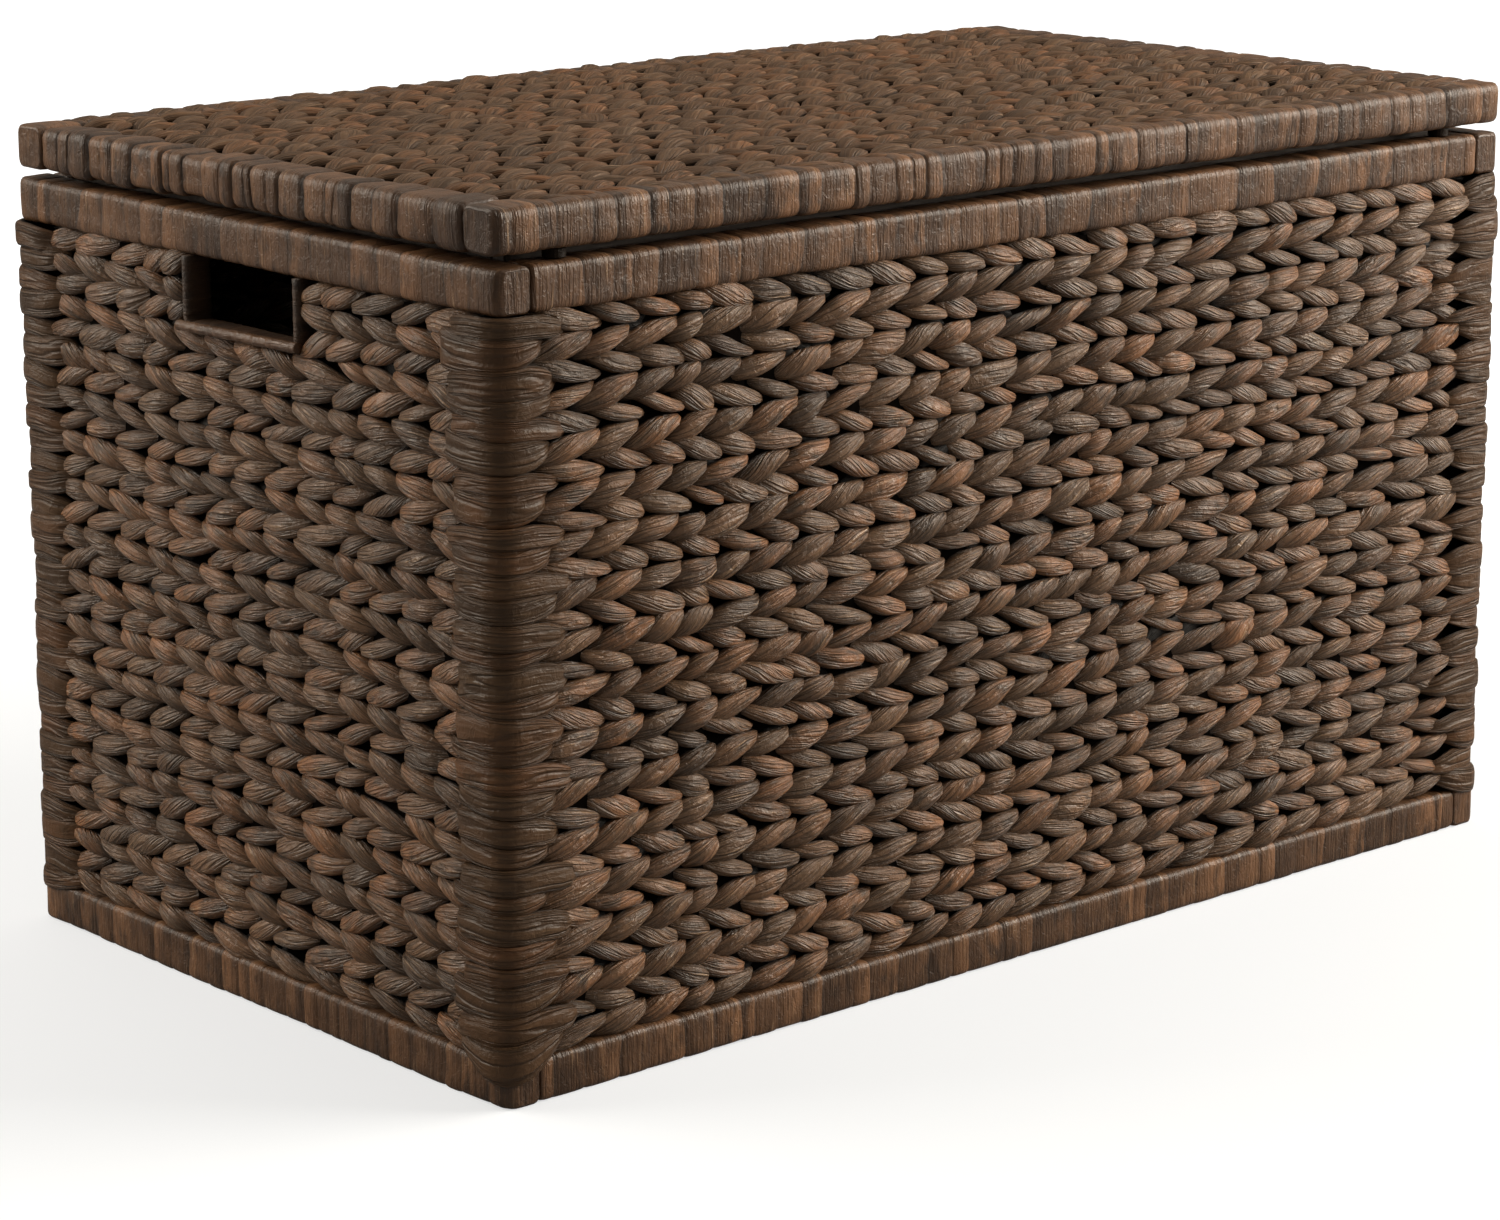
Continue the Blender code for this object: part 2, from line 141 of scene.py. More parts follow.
class StageSettings(bpy.types.PropertyGroup):
    """The camera, the floor and the lamps."""

    lens: FloatProperty(name="Lens", description="Focal length in millimetres", default=101.7)
    camera_place: FloatVectorProperty(
        name="Camera", description="Where the camera stands",
        subtype="TRANSLATION", default=(-1.6247, -1.7937, 0.7588)
    )
    camera_turn: FloatProperty(
        name="Camera Turn", description="Azimuth of the camera", subtype="ANGLE", default=math.radians(-41.68)
    )
    camera_tilt: FloatProperty(
        name="Camera Tilt", description="How far the camera looks down",
        subtype="ANGLE", default=math.radians(13.95)
    )
    floor: FloatVectorProperty(
        name="Floor", description="Colour of the floor", subtype="COLOR", default=(0.410, 0.430, 0.460)
    )
    floor_bounce: FloatProperty(
        name="Floor Bounce", description="Share of the floor's lightness that reaches the trunk", default=0.60
    )
    sky_low: FloatProperty(
        name="Sky Low", description="Strength of the soft light at the horizon", default=0.19
    )
    sky_high: FloatProperty(name="Sky High", description="Strength of the soft light overhead", default=0.36)
    lamp_colour: FloatVectorProperty(
        name="Lamp Colour", description="Slightly warm white of the lamps",
        subtype="COLOR", default=(1.0, 0.93, 0.82)
    )
    floor_glow: FloatProperty(
        name="Floor Glow", description="Light that the floor adds near the trunk", default=0.55
    )
    far_glow: FloatProperty(name="Far Glow", description="Light that the floor adds far away", default=1.05)
    lamp_right: FloatProperty(
        name="Lamp Right", description="Power of the right lamp", default=134.0, unit="POWER"
    )
    lamp_left: FloatProperty(
        name="Lamp Left", description="Power of the left lamp", default=60.0, unit="POWER"
    )
    lamp_top: FloatProperty(name="Lamp Top", description="Power of the top lamp", default=9.0, unit="POWER")


class TrunkSettings(bpy.types.PropertyGroup):
    """All the settings of the trunk."""

    weave: PointerProperty(type=WeaveSettings)
    rails: PointerProperty(type=RailSettings)
    finish: PointerProperty(type=FinishSettings)
    stage: PointerProperty(type=StageSettings)


def settings():
    """The trunk's settings on this scene."""
    return bpy.context.scene.woven_trunk


# ---------------------------------------------------------------- meshes


def smooth(x):
    """0 below 0, 1 above 1, and a smooth step between."""
    x = np.clip(x, 0.0, 1.0)
    return x * x * (3.0 - 2.0 * x)


def unit(a):
    """Vectors of length 1."""
    return a / np.linalg.norm(a, axis=-1, keepdims=True)


def stacked(*values):
    """Values spread over one another's shape and joined along a new last axis."""
    return np.stack(np.broadcast_arrays(*values), -1)


def tube_faces(tubes, stations, ring):
    """Quads and end triangles of closed tubes. Each has stations rings of ring points, then its two tips."""
    size = stations * ring + 2
    first = (np.arange(tubes) * size)[:, None]
    s, r = np.meshgrid(np.arange(stations - 1), np.arange(ring), indexing="ij")
    s, r = s.ravel(), r.ravel()
    after = (r + 1) % ring
    quads = np.stack([s * ring + r, s * ring + after, (s + 1) * ring + after, (s + 1) * ring + r], -1)
    r = np.arange(ring)
    after = (r + 1) % ring
    last = (stations - 1) * ring
    start = np.stack([after, r, np.full(ring, stations * ring)], -1)
    end = np.stack([last + r, last + after, np.full(ring, stations * ring + 1)], -1)
    tris = np.concatenate([start, end])
    return (
        (first[:, :, None] + quads[None]).reshape(-1, 4),
        (first[:, :, None] + tris[None]).reshape(-1, 3),
    )


class Strands:
    """Closed leaf tubes gathered into one mesh, with what their finish needs at each point."""

    def __init__(self):
        self.points, self.flow, self.tone, self.quads, self.tris = [], [], [], [], []
        self.count = 0

    def add(self, rings, tips, flow, tone, tip_flow=None):
        """rings is (tubes, stations, ring, 3) and tips (tubes, 2, 3). flow and tone spread over the rings."""
        tubes, stations, ring = rings.shape[:3]
        quads, tris = tube_faces(tubes, stations, ring)
        points = np.concatenate([rings.reshape(tubes, -1, 3), tips], 1).reshape(-1, 3)
        volume = 0.0
        for faces, second, third in ((tris, 1, 2), (quads, 1, 2), (quads, 2, 3)):
            a, b, c = (points[faces[:, i]] for i in (0, second, third))
            volume += np.einsum("ij,ij->i", np.cross(a, b), c).sum()
        if volume < 0:
            quads, tris = quads[:, ::-1], tris[:, ::-1]
        flow = np.broadcast_to(flow, rings.shape)
        tone = np.broadcast_to(tone, rings.shape[:3] + (4,))
        if tip_flow is None:
            tip_flow = flow[:, [0, -1], 0]
        self.quads.append(quads + self.count)
        self.tris.append(tris + self.count)
        self.points.append(points)
        self.flow.append(np.concatenate([flow.reshape(tubes, -1, 3), tip_flow], 1).reshape(-1, 3))
        self.tone.append(np.concatenate([tone.reshape(tubes, -1, 4), tone[:, [0, -1], 0]], 1).reshape(-1, 4))
        self.count += len(points)

    def piece(self, name, material, body, slot, nodes=()):
        """The finished piece, riding on its body."""
        mesh = bpy.data.meshes.new(name)
        points = np.concatenate(self.points)
        quads, tris = np.concatenate(self.quads), np.concatenate(self.tris)
        mesh.vertices.add(len(points))
        mesh.vertices.foreach_set("co", points.astype(np.float32).ravel())
        corners = np.concatenate([quads.ravel(), tris.ravel()])
        mesh.loops.add(len(corners))
        mesh.loops.foreach_set("vertex_index", corners.astype(np.int32))
        starts = np.concatenate([np.arange(len(quads)) * 4, len(quads) * 4 + np.arange(len(tris)) * 3])
        mesh.polygons.add(len(starts))
        mesh.polygons.foreach_set("loop_start", starts.astype(np.int32))
        mesh.update(calc_edges=True)
        mesh.validate()
        mesh.polygons.foreach_set("use_smooth", np.ones(len(mesh.polygons), bool))
        flow = mesh.attributes.new("leaf_flow", "FLOAT_VECTOR", "POINT")
        flow.data.foreach_set("vector", np.concatenate(self.flow).astype(np.float32).ravel())
        tone = mesh.attributes.new("leaf_tone", "FLOAT_COLOR", "POINT")
        tone.data.foreach_set("color", np.concatenate(self.tone).astype(np.float32).ravel())
        mesh.materials.append(material)
        piece = bpy.data.objects.new(name, mesh)
        bpy.context.scene.collection.objects.link(piece)
        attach(piece, body)
        if nodes:
            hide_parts(*nodes)
        return piece


def oval(ring, power):
    """Cosines and sines round a section, squared off a little by power, and the share of a turn at each."""

    def squared(x):
        return np.sign(x) * np.abs(x) ** (2.0 / power)

    angle = np.linspace(0.0, math.tau, ring, endpoint=False) - math.pi / 2
    return squared(np.cos(angle)), squared(np.sin(angle)), (angle + math.pi / 2) / math.tau


class Face:
    """A flat side of the trunk: u runs along its rows towards the lobes' heads, v across them, n outwards."""

    def __init__(self, origin, along, across, out):
        self.origin, self.axes = np.array(origin, float), np.array([along, across, out], float)

    def place(self, local):
        """Points of the trunk for points of this side."""
        return self.origin + local @ self.axes


STAKE_THICKNESS = 0.0011
STAKE_SHARE = 0.515  # half a stake's width, as a share of its column
LOBE_STATIONS = np.array([0.03, 0.11, 0.20, 0.30, 0.41, 0.52, 0.63, 0.74, 0.84, 0.92, 0.975])
LINING_STATIONS = np.array([0.05, 0.22, 0.40, 0.58, 0.77, 0.94])
BODY = slice(1, -1)  # a tube's stations without its two tips

# How much one lobe differs from the next: shares of its own size, then lengths in metres.
WIDTH_SPREAD = 0.13
DEPTH_SPREAD = 0.12
LOW_END_SPREAD = 0.06
HIGH_END_SPREAD = 0.10
PEAK_SPREAD = 0.09
TWIST_SPREAD = 0.22
HEIGHT_SPREAD = 0.0004
BEND_SPREAD = 0.0007

KEY_RANGE = 40.0  # spreads the leaves far apart in the fibre pattern
LOBE_SQUARENESS = 2.25
RAIL_CLEARANCE = 0.05  # how far from a rail the rows are free to drift
BELOW_ROW = 0.003  # how far past its tuck the low end of a lobe may reach


def wander(points, look):
    """Lets rows drift and the wall swell a little, without crossing the rails that bound it."""
    u, v = points[..., 0].copy(), points[..., 1].copy()
    low, high = look["span"]
    phase = look["phase"]
    free = smooth((v - low) / RAIL_CLEARANCE) * smooth((high - v) / RAIL_CLEARANCE)
    drift = 0.0011 * np.sin(17.0 * u + 9.0 * v + phase) + 0.0008 * np.sin(41.0 * u - 23.0 * v + 2.0 * phase)
    points[..., 1] += free * drift
    points[..., 2] += 0.0008 * free * np.sin(13.0 * u + 19.0 * v + 3.0 * phase)


def lobe_tube(strands, rng, face, tail, head, row, half_row, lean, look):
    """Adds one seed-shaped lobe per entry of tail and head. It leans up its row where lean is 1, or down."""
    count = len(tail)
    t = np.concatenate([[0.0], look["stations"], [1.0]])[None, :]

    def around(scale):
        return rng.normal(0.0, scale, (count, 1))

    length = (head - tail)[:, None]
    half_row = half_row[:, None]
    width = look["width"] * half_row * (1.0 + around(WIDTH_SPREAD))
    depth = look["depth"] * (1.0 + around(DEPTH_SPREAD))
    low_end = -(half_row + look["tuck"]) * (1.0 + around(LOW_END_SPREAD))
    high_end = (half_row - look["crown"]) * (1.0 + around(HIGH_END_SPREAD))
    peak = look["peak"] + around(PEAK_SPREAD)
    u = tail[:, None] + length * t
    climb = 0.45 * t + 0.55 * np.sin(0.5 * math.pi * t)
    v = lean[:, None] * (low_end + (high_end - low_end) * climb) + around(HEIGHT_SPREAD)
    v = v + around(BEND_SPREAD) * np.sin(2.0 * math.pi * t)
    sink = look["sink"]
    n = -depth - sink * (1.0 - smooth(t / 0.55)) ** 1.2 - 0.5 * sink * smooth((t - 0.80) / 0.20) ** 1.3
    n = n + around(look["ragged"]) + look["proud"] * lean[:, None]
    half = width * np.sin(math.pi * t**peak).clip(1e-4) ** 0.66
    thick = depth * np.sin(math.pi * t**1.05).clip(1e-4) ** 0.60

    centre = np.stack([u, v, n], -1)
    tangent = unit(np.gradient(centre, axis=1))
    side = unit(np.cross(UP, tangent))
    normal = np.cross(tangent, side)
    cosine, sine, turn = oval(look["ring"], LOBE_SQUARENESS)
    twist = around(TWIST_SPREAD)[:, :, None]
    rings = (
        centre[:, BODY, None, :]
        + (half[:, BODY, None] * cosine)[..., None] * side[:, BODY, None, :]
        + (thick[:, BODY, None] * sine)[..., None] * normal[:, BODY, None, :]
    )
    fold = np.abs(np.sin(look["folds"] * math.pi * turn[None, None, :] + around(3.0)[:, :, None]))
    deep = look["crease"] * rng.uniform(0.3, 1.6, (count, 1)) * (0.3 + 0.7 * smooth(t[:, BODY] * 1.6))
    rings = rings + (deep[..., None] * (fold - 0.7))[..., None] * normal[:, BODY, None, :]
    tips = centre[:, [0, -1], :]

    def squeeze(points):
        """Keeps points within their own row, and a little below it at the tucked end."""
        points = points.copy()
        shape = (count,) + (1,) * (points.ndim - 2)
        way, reach = lean.reshape(shape), half_row.reshape(shape)
        value = points[..., 1] * way
        limit = np.where(value > 0.0, reach + look["meet"], reach + look["tuck"] + BELOW_ROW)
        points[..., 1] = way * value / (1.0 + np.abs(value / limit) ** 5) ** 0.2
        return points

    rings, tips = squeeze(rings), squeeze(tips)
    rings[..., 1] += row[:, None, None]
    tips[..., 1] += row[:, None]
    wander(rings, look)
    wander(tips, look)

    key = rng.uniform(0.0, KEY_RANGE, (count, 1, 1))
    along = (length * t)[:, BODY, None]
    girth = 2.0 * math.pi * look["width"] * float(half_row.mean())
    flow = stacked(along, (turn[None, None, :] - 0.5) * girth + twist * along, key)
    tip_flow = stacked([0.0, 0.04], 0.0, key[:, 0])
    shade = rng.beta(1.3, 1.3, (count, 1, 1))
    warm = np.clip(rng.beta(1.1, 2.0, (count, 1, 1)) * look["warmth"], 0.0, 1.0)
    # Cover falls at the back of each lobe and at its tucked tail, where the leaf finish paints shade.
    cover = covered(sine) * smooth(t[:, BODY] / 0.34)[..., None] ** 0.8
    tone = stacked(shade, warm, t[:, BODY, None], cover)
    strands.add(face.place(rings), face.place(tips), flow, tone, tip_flow)


def covered(sine):
    """How open each side of a tube's section is: 1 outside, 0 at the back. The leaf finish paints shade where
    it is low.
    """
    return smooth((sine * 0.5 + 0.5) * 1.15)[None, None, :]


def columns(rng, start, end, pitch):
    """Edges of the columns that the lobes of every row share."""
    count = max(1, round((end - start) / pitch))
    steps = np.clip(rng.normal(1.0, 0.10, count), 0.75, 1.3)
    return start + (end - start) * np.concatenate([[0.0], np.cumsum(steps)]) / steps.sum()


def twined_rows(strands, rng, face, rows, runs, look, lean_of):
    """Rows of lobes. rows holds each row's middle and half height, runs(index) the column edges it covers."""
    tails, heads, places, halves, leans = [], [], [], [], []
    for index, (middle, half) in enumerate(rows):
        for edges in runs(index):
            step = np.diff(edges)
            jitter = rng.normal(0.0, look["stagger"], len(edges)) + rng.normal(0.0, look["row_shift"])
            jitter[0] = jitter[-1] = 0.0
            moved = edges + jitter
            tails.append(moved[:-1] - look["tail"] * step)
            heads.append(moved[1:] + look["head"] * step)
            places.append(np.full(len(step), middle) + rng.normal(0.0, 0.00035, len(step)))
            halves.append(np.full(len(step), half))
            leans.append(np.full(len(step), lean_of(index)))
    lobes = (np.concatenate(parts) for parts in (tails, heads, places, halves, leans))
    lobe_tube(strands, rng, face, *lobes, look)


def up_at_odd(index):
    """The lean of a row where every second one leans up."""
    return 1.0 if index % 2 else -1.0


def down_at_odd(index):
    """The lean of a row where every second one leans down."""
    return -up_at_odd(index)


def paired_rows(start, pitch, count, share, way=1.0):
    """Middles and half heights of rows in pairs, where share is the first row's part of its pair."""
    rows = []
    edge = start
    for index in range(count):
        height = 2.0 * pitch * (share if index % 2 == 0 else 1.0 - share)
        rows.append((edge + way * height / 2, height / 2))
        edge += way * height
    return rows


def wall_look(weave):
    """How the lobes on a wall's outside are shaped. Widths are shares of the row's half height."""
    return {
        "stations": LOBE_STATIONS,
        "ring": 16,
        "width": weave.lobe_width,
        "depth": weave.lobe_depth,
        "sink": 0.0078,
        "tuck": 0.0022,
        "crown": 0.0016,
        "meet": 0.0010,
        "peak": 1.08,
        "tail": 0.42,
        "head": 0.20,
        "ragged": 0.0007,
        "proud": 0.0003,
        "stagger": 0.0028,
        "row_shift": 0.0025,
        "crease": 0.00055,
        "folds": 4,
        "phase": 0.0,
        "span": (-1.0, 1.0),
        "warmth": 1.0,
    }


def lining_look(weave):
    """How the lobes on a wall's inside are shaped."""
    look = wall_look(weave)
    look.update(stations=LINING_STATIONS, ring=6, crease=0.0, depth=0.0038, sink=0.0050, proud=0.0)
    return look


def rods(strands, rng, ends, radius, shade, cover, segments=10, ring=8, wave=0.0004, flat=None, out=None):
    """Leaf-covered rods between pairs of points, or flat strips that face out."""
    ends = np.asarray(ends, float)
    count = len(ends)
    t = np.linspace(0.0, 1.0, segments + 1)[None, :, None]
    centre = ends[:, None, 0] * (1.0 - t) + ends[:, None, 1] * t
    axis = unit(ends[:, 1] - ends[:, 0])
    side = unit(np.cross(axis, np.where(np.abs(axis[:, 2:3]) > 0.9, ALONG_X, UP) if out is None else out))
    normal = np.cross(side, axis)
    wide = np.full(count, radius) if flat is None else flat
    centre = centre + rng.normal(0.0, wave, (count, segments + 1, 1)) * side[:, None]
    cosine, sine, turn = oval(ring, 2.0)
    rings = (
        centre[:, :, None]
        + wide[:, None, None, None] * cosine[None, None, :, None] * side[:, None, None]
        + radius * sine[None, None, :, None] * normal[:, None, None]
    )
    length = np.linalg.norm(ends[:, 1] - ends[:, 0], axis=1)[:, None, None]
    key = rng.uniform(0.0, KEY_RANGE, (count, 1, 1))
    flow = stacked(length * t, 2.0 * math.pi * radius * turn, key)
    strands.add(rings, centre[:, [0, -1]], flow, (shade, 0.2, 0.5, cover))


def make_stakes(name, rng, ends, edges, out, body):
    """The flat stakes inside a wall or the lid, one to each column, painted dark as shade in the gaps between
    the lobes.
    """
    stakes = Strands()
    rods(stakes, rng, ends, STAKE_THICKNESS, 0.12, 0.0, flat=np.diff(edges) * STAKE_SHARE, out=out)
    stakes.piece(name, leaf("core"), body, "woven_leaf")


# ---------------------------------------------------------------- walls and corners

WALL_LAP = 0.006  # how far the rows run on under the corner bands
WALL_SEEDS = {"front": 11, "back": 23, "left": 37, "right": 41}
CORNER_SEEDS = {"front_left": 53, "front_right": 59, "back_left": 61, "back_right": 67}
END_SPACE = 0.002  # from a stake's end to the wall's edge


def wall_faces():
    """Each wall's side, with the half length that its rows cover."""
    front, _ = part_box("woven_wall_front")
    _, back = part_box("woven_wall_back")
    left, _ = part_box("woven_wall_left")
    _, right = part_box("woven_wall_right")
    long_reach = back.x + WALL_LAP
    short_reach = right.y + WALL_LAP
    return {
        "front": (Face((0.0, front.y, 0.0), ALONG_X, UP, -ALONG_Y), long_reach),
        "back": (Face((0.0, back.y, 0.0), -ALONG_X, UP, ALONG_Y), long_reach),
        "left": (Face((left.x, 0.0, 0.0), ALONG_Y, UP, -ALONG_X), short_reach),
        "right": (Face((right.x, 0.0, 0.0), -ALONG_Y, UP, ALONG_X), short_reach),
    }


def inner_side(face, thickness):
    """The same side seen from inside the trunk."""
    along, across, out = face.axes
    return Face(face.origin - out * thickness, along, across, -out)


def wall_rows(weave, share):
    """The wall's rows from the top down."""
    low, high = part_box("woven_wall_front")
    pitch = (high.z - low.z + 0.0003) / weave.wall_rows
    return paired_rows(high.z, pitch, weave.wall_rows, share, -1.0)


def make_wall(name, finish):
    """The outside of one wall in an upper and a lower piece, and its lining with the stakes between."""
    weave = settings().weave
    node = "woven_wall_" + name
    face, reach = wall_faces()[name]
    rows = wall_rows(weave, 0.45 if name in ("front", "back") else 0.5)
    seed = WALL_SEEDS[name]
    rng = np.random.RandomState(seed)
    edges = columns(rng, -reach, reach, weave.pitch)
    hole_reach, hole_floor = -1.0, math.inf
    if name in ("left", "right"):
        low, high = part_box("hand_hole_frame_" + name)
        hole_reach, hole_floor = high.y, low.z

    def runs_of(order):
        def runs(index):
            middle, half = rows[order[index]]
            if middle < hole_floor:
                return [edges]
            near, far = -hole_reach + 0.0010, hole_reach + 0.0045
            before = np.append(edges[edges < near - 0.012], near)
            after = np.insert(edges[edges > far + 0.012], 0, far)
            return [before, after]

        return runs

    half = weave.wall_rows // 2
    low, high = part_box(node)
    look = wall_look(weave)
    look.update(span=(low.z, high.z), phase=seed * 0.37, ring=16 if name in ("front", "left") else 12)
    for label, order in (("upper", range(half)), ("lower", range(half, weave.wall_rows))):
        strands = Strands()
        lean_of = up_at_odd if order[0] % 2 == 0 else down_at_odd
        twined_rows(strands, rng, face, [rows[i] for i in order], runs_of(order), look, lean_of)
        nodes = (node,) if label == "upper" else ()
        strands.piece(f"{name}_weave_{label}", finish, CHEST, "woven_leaf", nodes)

    thickness = min(high.x - low.x, high.y - low.y)
    inside = inner_side(face, thickness)
    runs = runs_of(range(weave.wall_rows))
    strands = Strands()
    twined_rows(strands, rng, inside, rows, runs, lining_look(weave), down_at_odd)
    strands.piece(f"{name}_weave_lining", finish, CHEST, "woven_leaf")

    middles = 0.5 * (edges[1:] + edges[:-1])
    top = np.where(np.abs(middles) < hole_reach + 0.008, hole_floor - 0.003, high.z - END_SPACE)
    ends = [
        [face.place(np.array([u, z, -thickness / 2])) for z in (low.z + END_SPACE, above)]
        for u, above in zip(middles, top)
    ]
    make_stakes(f"{name}_weave_stakes", rng, ends, edges, face.axes[2], CHEST)


def corner_path(s, radius, box_x, box_y):
    """Points and outward directions at distances s round a corner, positive along the long wall."""
    arc = radius * math.pi / 4
    angle = np.clip(s, -arc, arc) / radius + math.pi / 4
    beyond = np.maximum(s - arc, 0.0)
    before = np.maximum(-arc - s, 0.0)
    out = np.stack([np.cos(angle), np.sin(angle)], -1)
    x = box_x - radius + radius * out[..., 0] - beyond
    y = box_y - radius + radius * out[..., 1] - before
    return np.stack([x, y], -1), out


BAND_STATIONS = np.array(
    [0.012, 0.04, 0.08, 0.13, 0.20, 0.28, 0.36, 0.43, 0.5, 0.57, 0.64, 0.72, 0.80, 0.87, 0.92, 0.96, 0.988]
)
BAND_START, BAND_END = -0.0445, 0.0430  # distances from the corner's middle
BAND_RADIUS = 0.0150
BAND_THICKNESS = 0.0026
BAND_SETBACK = 0.0022  # how far a band's middle lies inside the corner
BAND_WOBBLE = 0.0021  # of the edge between two bands
BAND_GIRTH = 0.034
BAND_SQUARENESS = 3.4


def make_corner(name, side_x, side_y, sag, finish):
    """The bands of leaf that carry each row round one corner."""
    node = "corner_wrap_" + name
    low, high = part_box(node)
    box_x, box_y = max(abs(low.x), abs(high.x)), max(abs(low.y), abs(high.y))
    rows = wall_rows(settings().weave, 0.5)
    count = len(rows)
    rng = np.random.RandomState(CORNER_SEEDS[name])
    edges = np.array([middle + half for middle, half in rows] + [rows[-1][0] - rows[-1][1]])
    wobble = rng.normal(0.0, BAND_WOBBLE, (2, count + 1))
    wobble[:, 0] = wobble[:, -1] = 0.0
    t = np.concatenate([[0.0], BAND_STATIONS, [1.0]])[None, :]
    lines = edges[:, None] + wobble[0, :, None] * (1.0 - t) + wobble[1, :, None] * t
    top, bottom = lines[:-1].copy(), lines[1:].copy()
    droop = np.sin(math.pi * np.clip((t[0] - 0.12) / 0.76, 0.0, 1.0)) ** 1.5
    bottom[-1] -= sag * droop
    bottom[-2] -= 0.25 * sag * droop
    top[-1] -= 0.25 * sag * droop
    lean = np.where(np.arange(count) % 2 == 0, -1.0, 1.0)
    start = BAND_START - rng.normal(0.0, 0.0028, count) - 0.0015 * lean
    end = BAND_END + rng.normal(0.0, 0.0030, count) - 0.0045 * lean
    s = start[:, None] * (1.0 - t) + end[:, None] * t
    blunt = np.clip(t / 0.13, 0.0, 1.0)
    point = np.clip((1.0 - t) / rng.uniform(0.20, 0.34, (count, 1)), 0.0, 1.0)
    closing = (1.0 - (1.0 - blunt) ** 2.2).clip(1e-3) ** 0.5 * (1.0 - (1.0 - point) ** 1.7).clip(1e-3) ** 0.75
    thick = BAND_THICKNESS * (1.0 + rng.normal(0.0, 0.14, (count, 1))) * closing**0.6
    ended = np.abs(2.0 * t - 1.0)  # 0 at the corner, 1 at both ends
    tucked = smooth((ended - 0.62) / 0.38) ** 1.4
    out_by = -BAND_SETBACK + rng.normal(0.0, 0.0007, (count, 1)) - 0.0066 * tucked
    out_by[-1] += BAND_SETBACK * droop
    merge = lean[:, None] * 0.0026 * (smooth((t - 0.66) / 0.34) + smooth((0.30 - t) / 0.30))
    z = 0.5 * (top + bottom) + merge
    half = 0.5 * (top - bottom) * closing * (1.10 + rng.normal(0.0, 0.07, (count, 1)))
    place, out = corner_path(s, BAND_RADIUS, box_x, box_y)
    sign = np.array([side_x, side_y], float)
    centre = np.concatenate([(place + out * out_by[..., None]) * sign, z[..., None]], -1)
    normal = np.concatenate([out * sign, np.zeros_like(z)[..., None]], -1)
    cosine, sine, turn = oval(24, BAND_SQUARENESS)
    fold = np.abs(np.sin(5.0 * math.pi * turn[None, None, :] + rng.uniform(0.0, 3.0, (count, 1, 1))))
    gathered = (0.00025 + 0.0009 * smooth((ended[:, BODY, None] - 0.35) / 0.5)) * (fold - 0.6)
    rings = (
        centre[:, BODY, None]
        + (half[:, BODY, None] * cosine)[..., None] * UP
        + (thick[:, BODY, None] * sine + gathered)[..., None] * normal[:, BODY, None]
    )
    key = rng.uniform(0.0, KEY_RANGE, (count, 1, 1))
    flow = stacked(s[:, BODY, None], (turn - 0.5) * BAND_GIRTH, key)
    # The 0.75 darkens every band: partly painted shade for the corner that faces away from the lamps.
    shade = rng.beta(2.0, 2.4, (count, 1, 1)) * 0.75
    warm = rng.beta(1.3, 2.2, (count, 1, 1))
    strands = Strands()
    strands.add(rings, centre[:, [0, -1]], flow, stacked(shade, warm, 0.45, covered(sine)))
    strands.piece("corner_wrap_bands_" + name, finish, CHEST, "woven_leaf", (node,))


# ---------------------------------------------------------------- rails


SECTION_POINTS = 4  # on each rounded corner and along each side of a rail's section
CAP_RINGS = np.array([0.25, 0.6, 0.97])[:, None]
END_RINGS = np.array([0.0002, 0.0012, 0.0030, 0.0055])  # distances from a rail's end
STRIP_STATIONS = np.array([0.0, 0.07, 0.22, 0.45, 0.70, 0.88, 0.96])
ROUND = 6.28  # a whole turn
RAIL_SIDES = {"front": -1.0, "back": 1.0, "left": -1.0, "right": 1.0}
RAIL_SEEDS = {"base_rail": 100, "rim_rail": 140, "lid_rail": 180}
BUTTED_RADIUS = 0.0010  # of a rail's end that stands against another rail
INNER_RADIUS = 0.0012
UPRIGHT_RADIUS = 0.0022


def rounded_section(half_p, half_q, radius):
    """Points round a rounded rectangle, counter-clockwise, with their distance along the outline."""
    corners = []
    for sp, sq, first in ((1, 1, 0.0), (-1, 1, 0.5), (-1, -1, 1.0), (1, -1, 1.5)):
        angle = math.pi * (first + np.linspace(0.0, 0.5, SECTION_POINTS))
        centre = np.array([sp * (half_p - radius), sq * (half_q - radius)])
        corners.append(centre + radius * stacked(np.cos(angle), np.sin(angle)))
    share = (np.arange(SECTION_POINTS) + 1.0)[:, None] / (SECTION_POINTS + 1.0)
    points = []
    for corner, following in zip(corners, corners[1:] + corners[:1]):
        points += [corner, corner[-1] * (1.0 - share) + following[0] * share]
    points = np.concatenate(points)
    points = np.roll(points, -int(np.argmin(points.sum(axis=1))), 0)
    steps = np.linalg.norm(np.roll(points, -1, 0) - points, axis=1)
    return points, np.concatenate([[0.0], np.cumsum(steps)[:-1]])


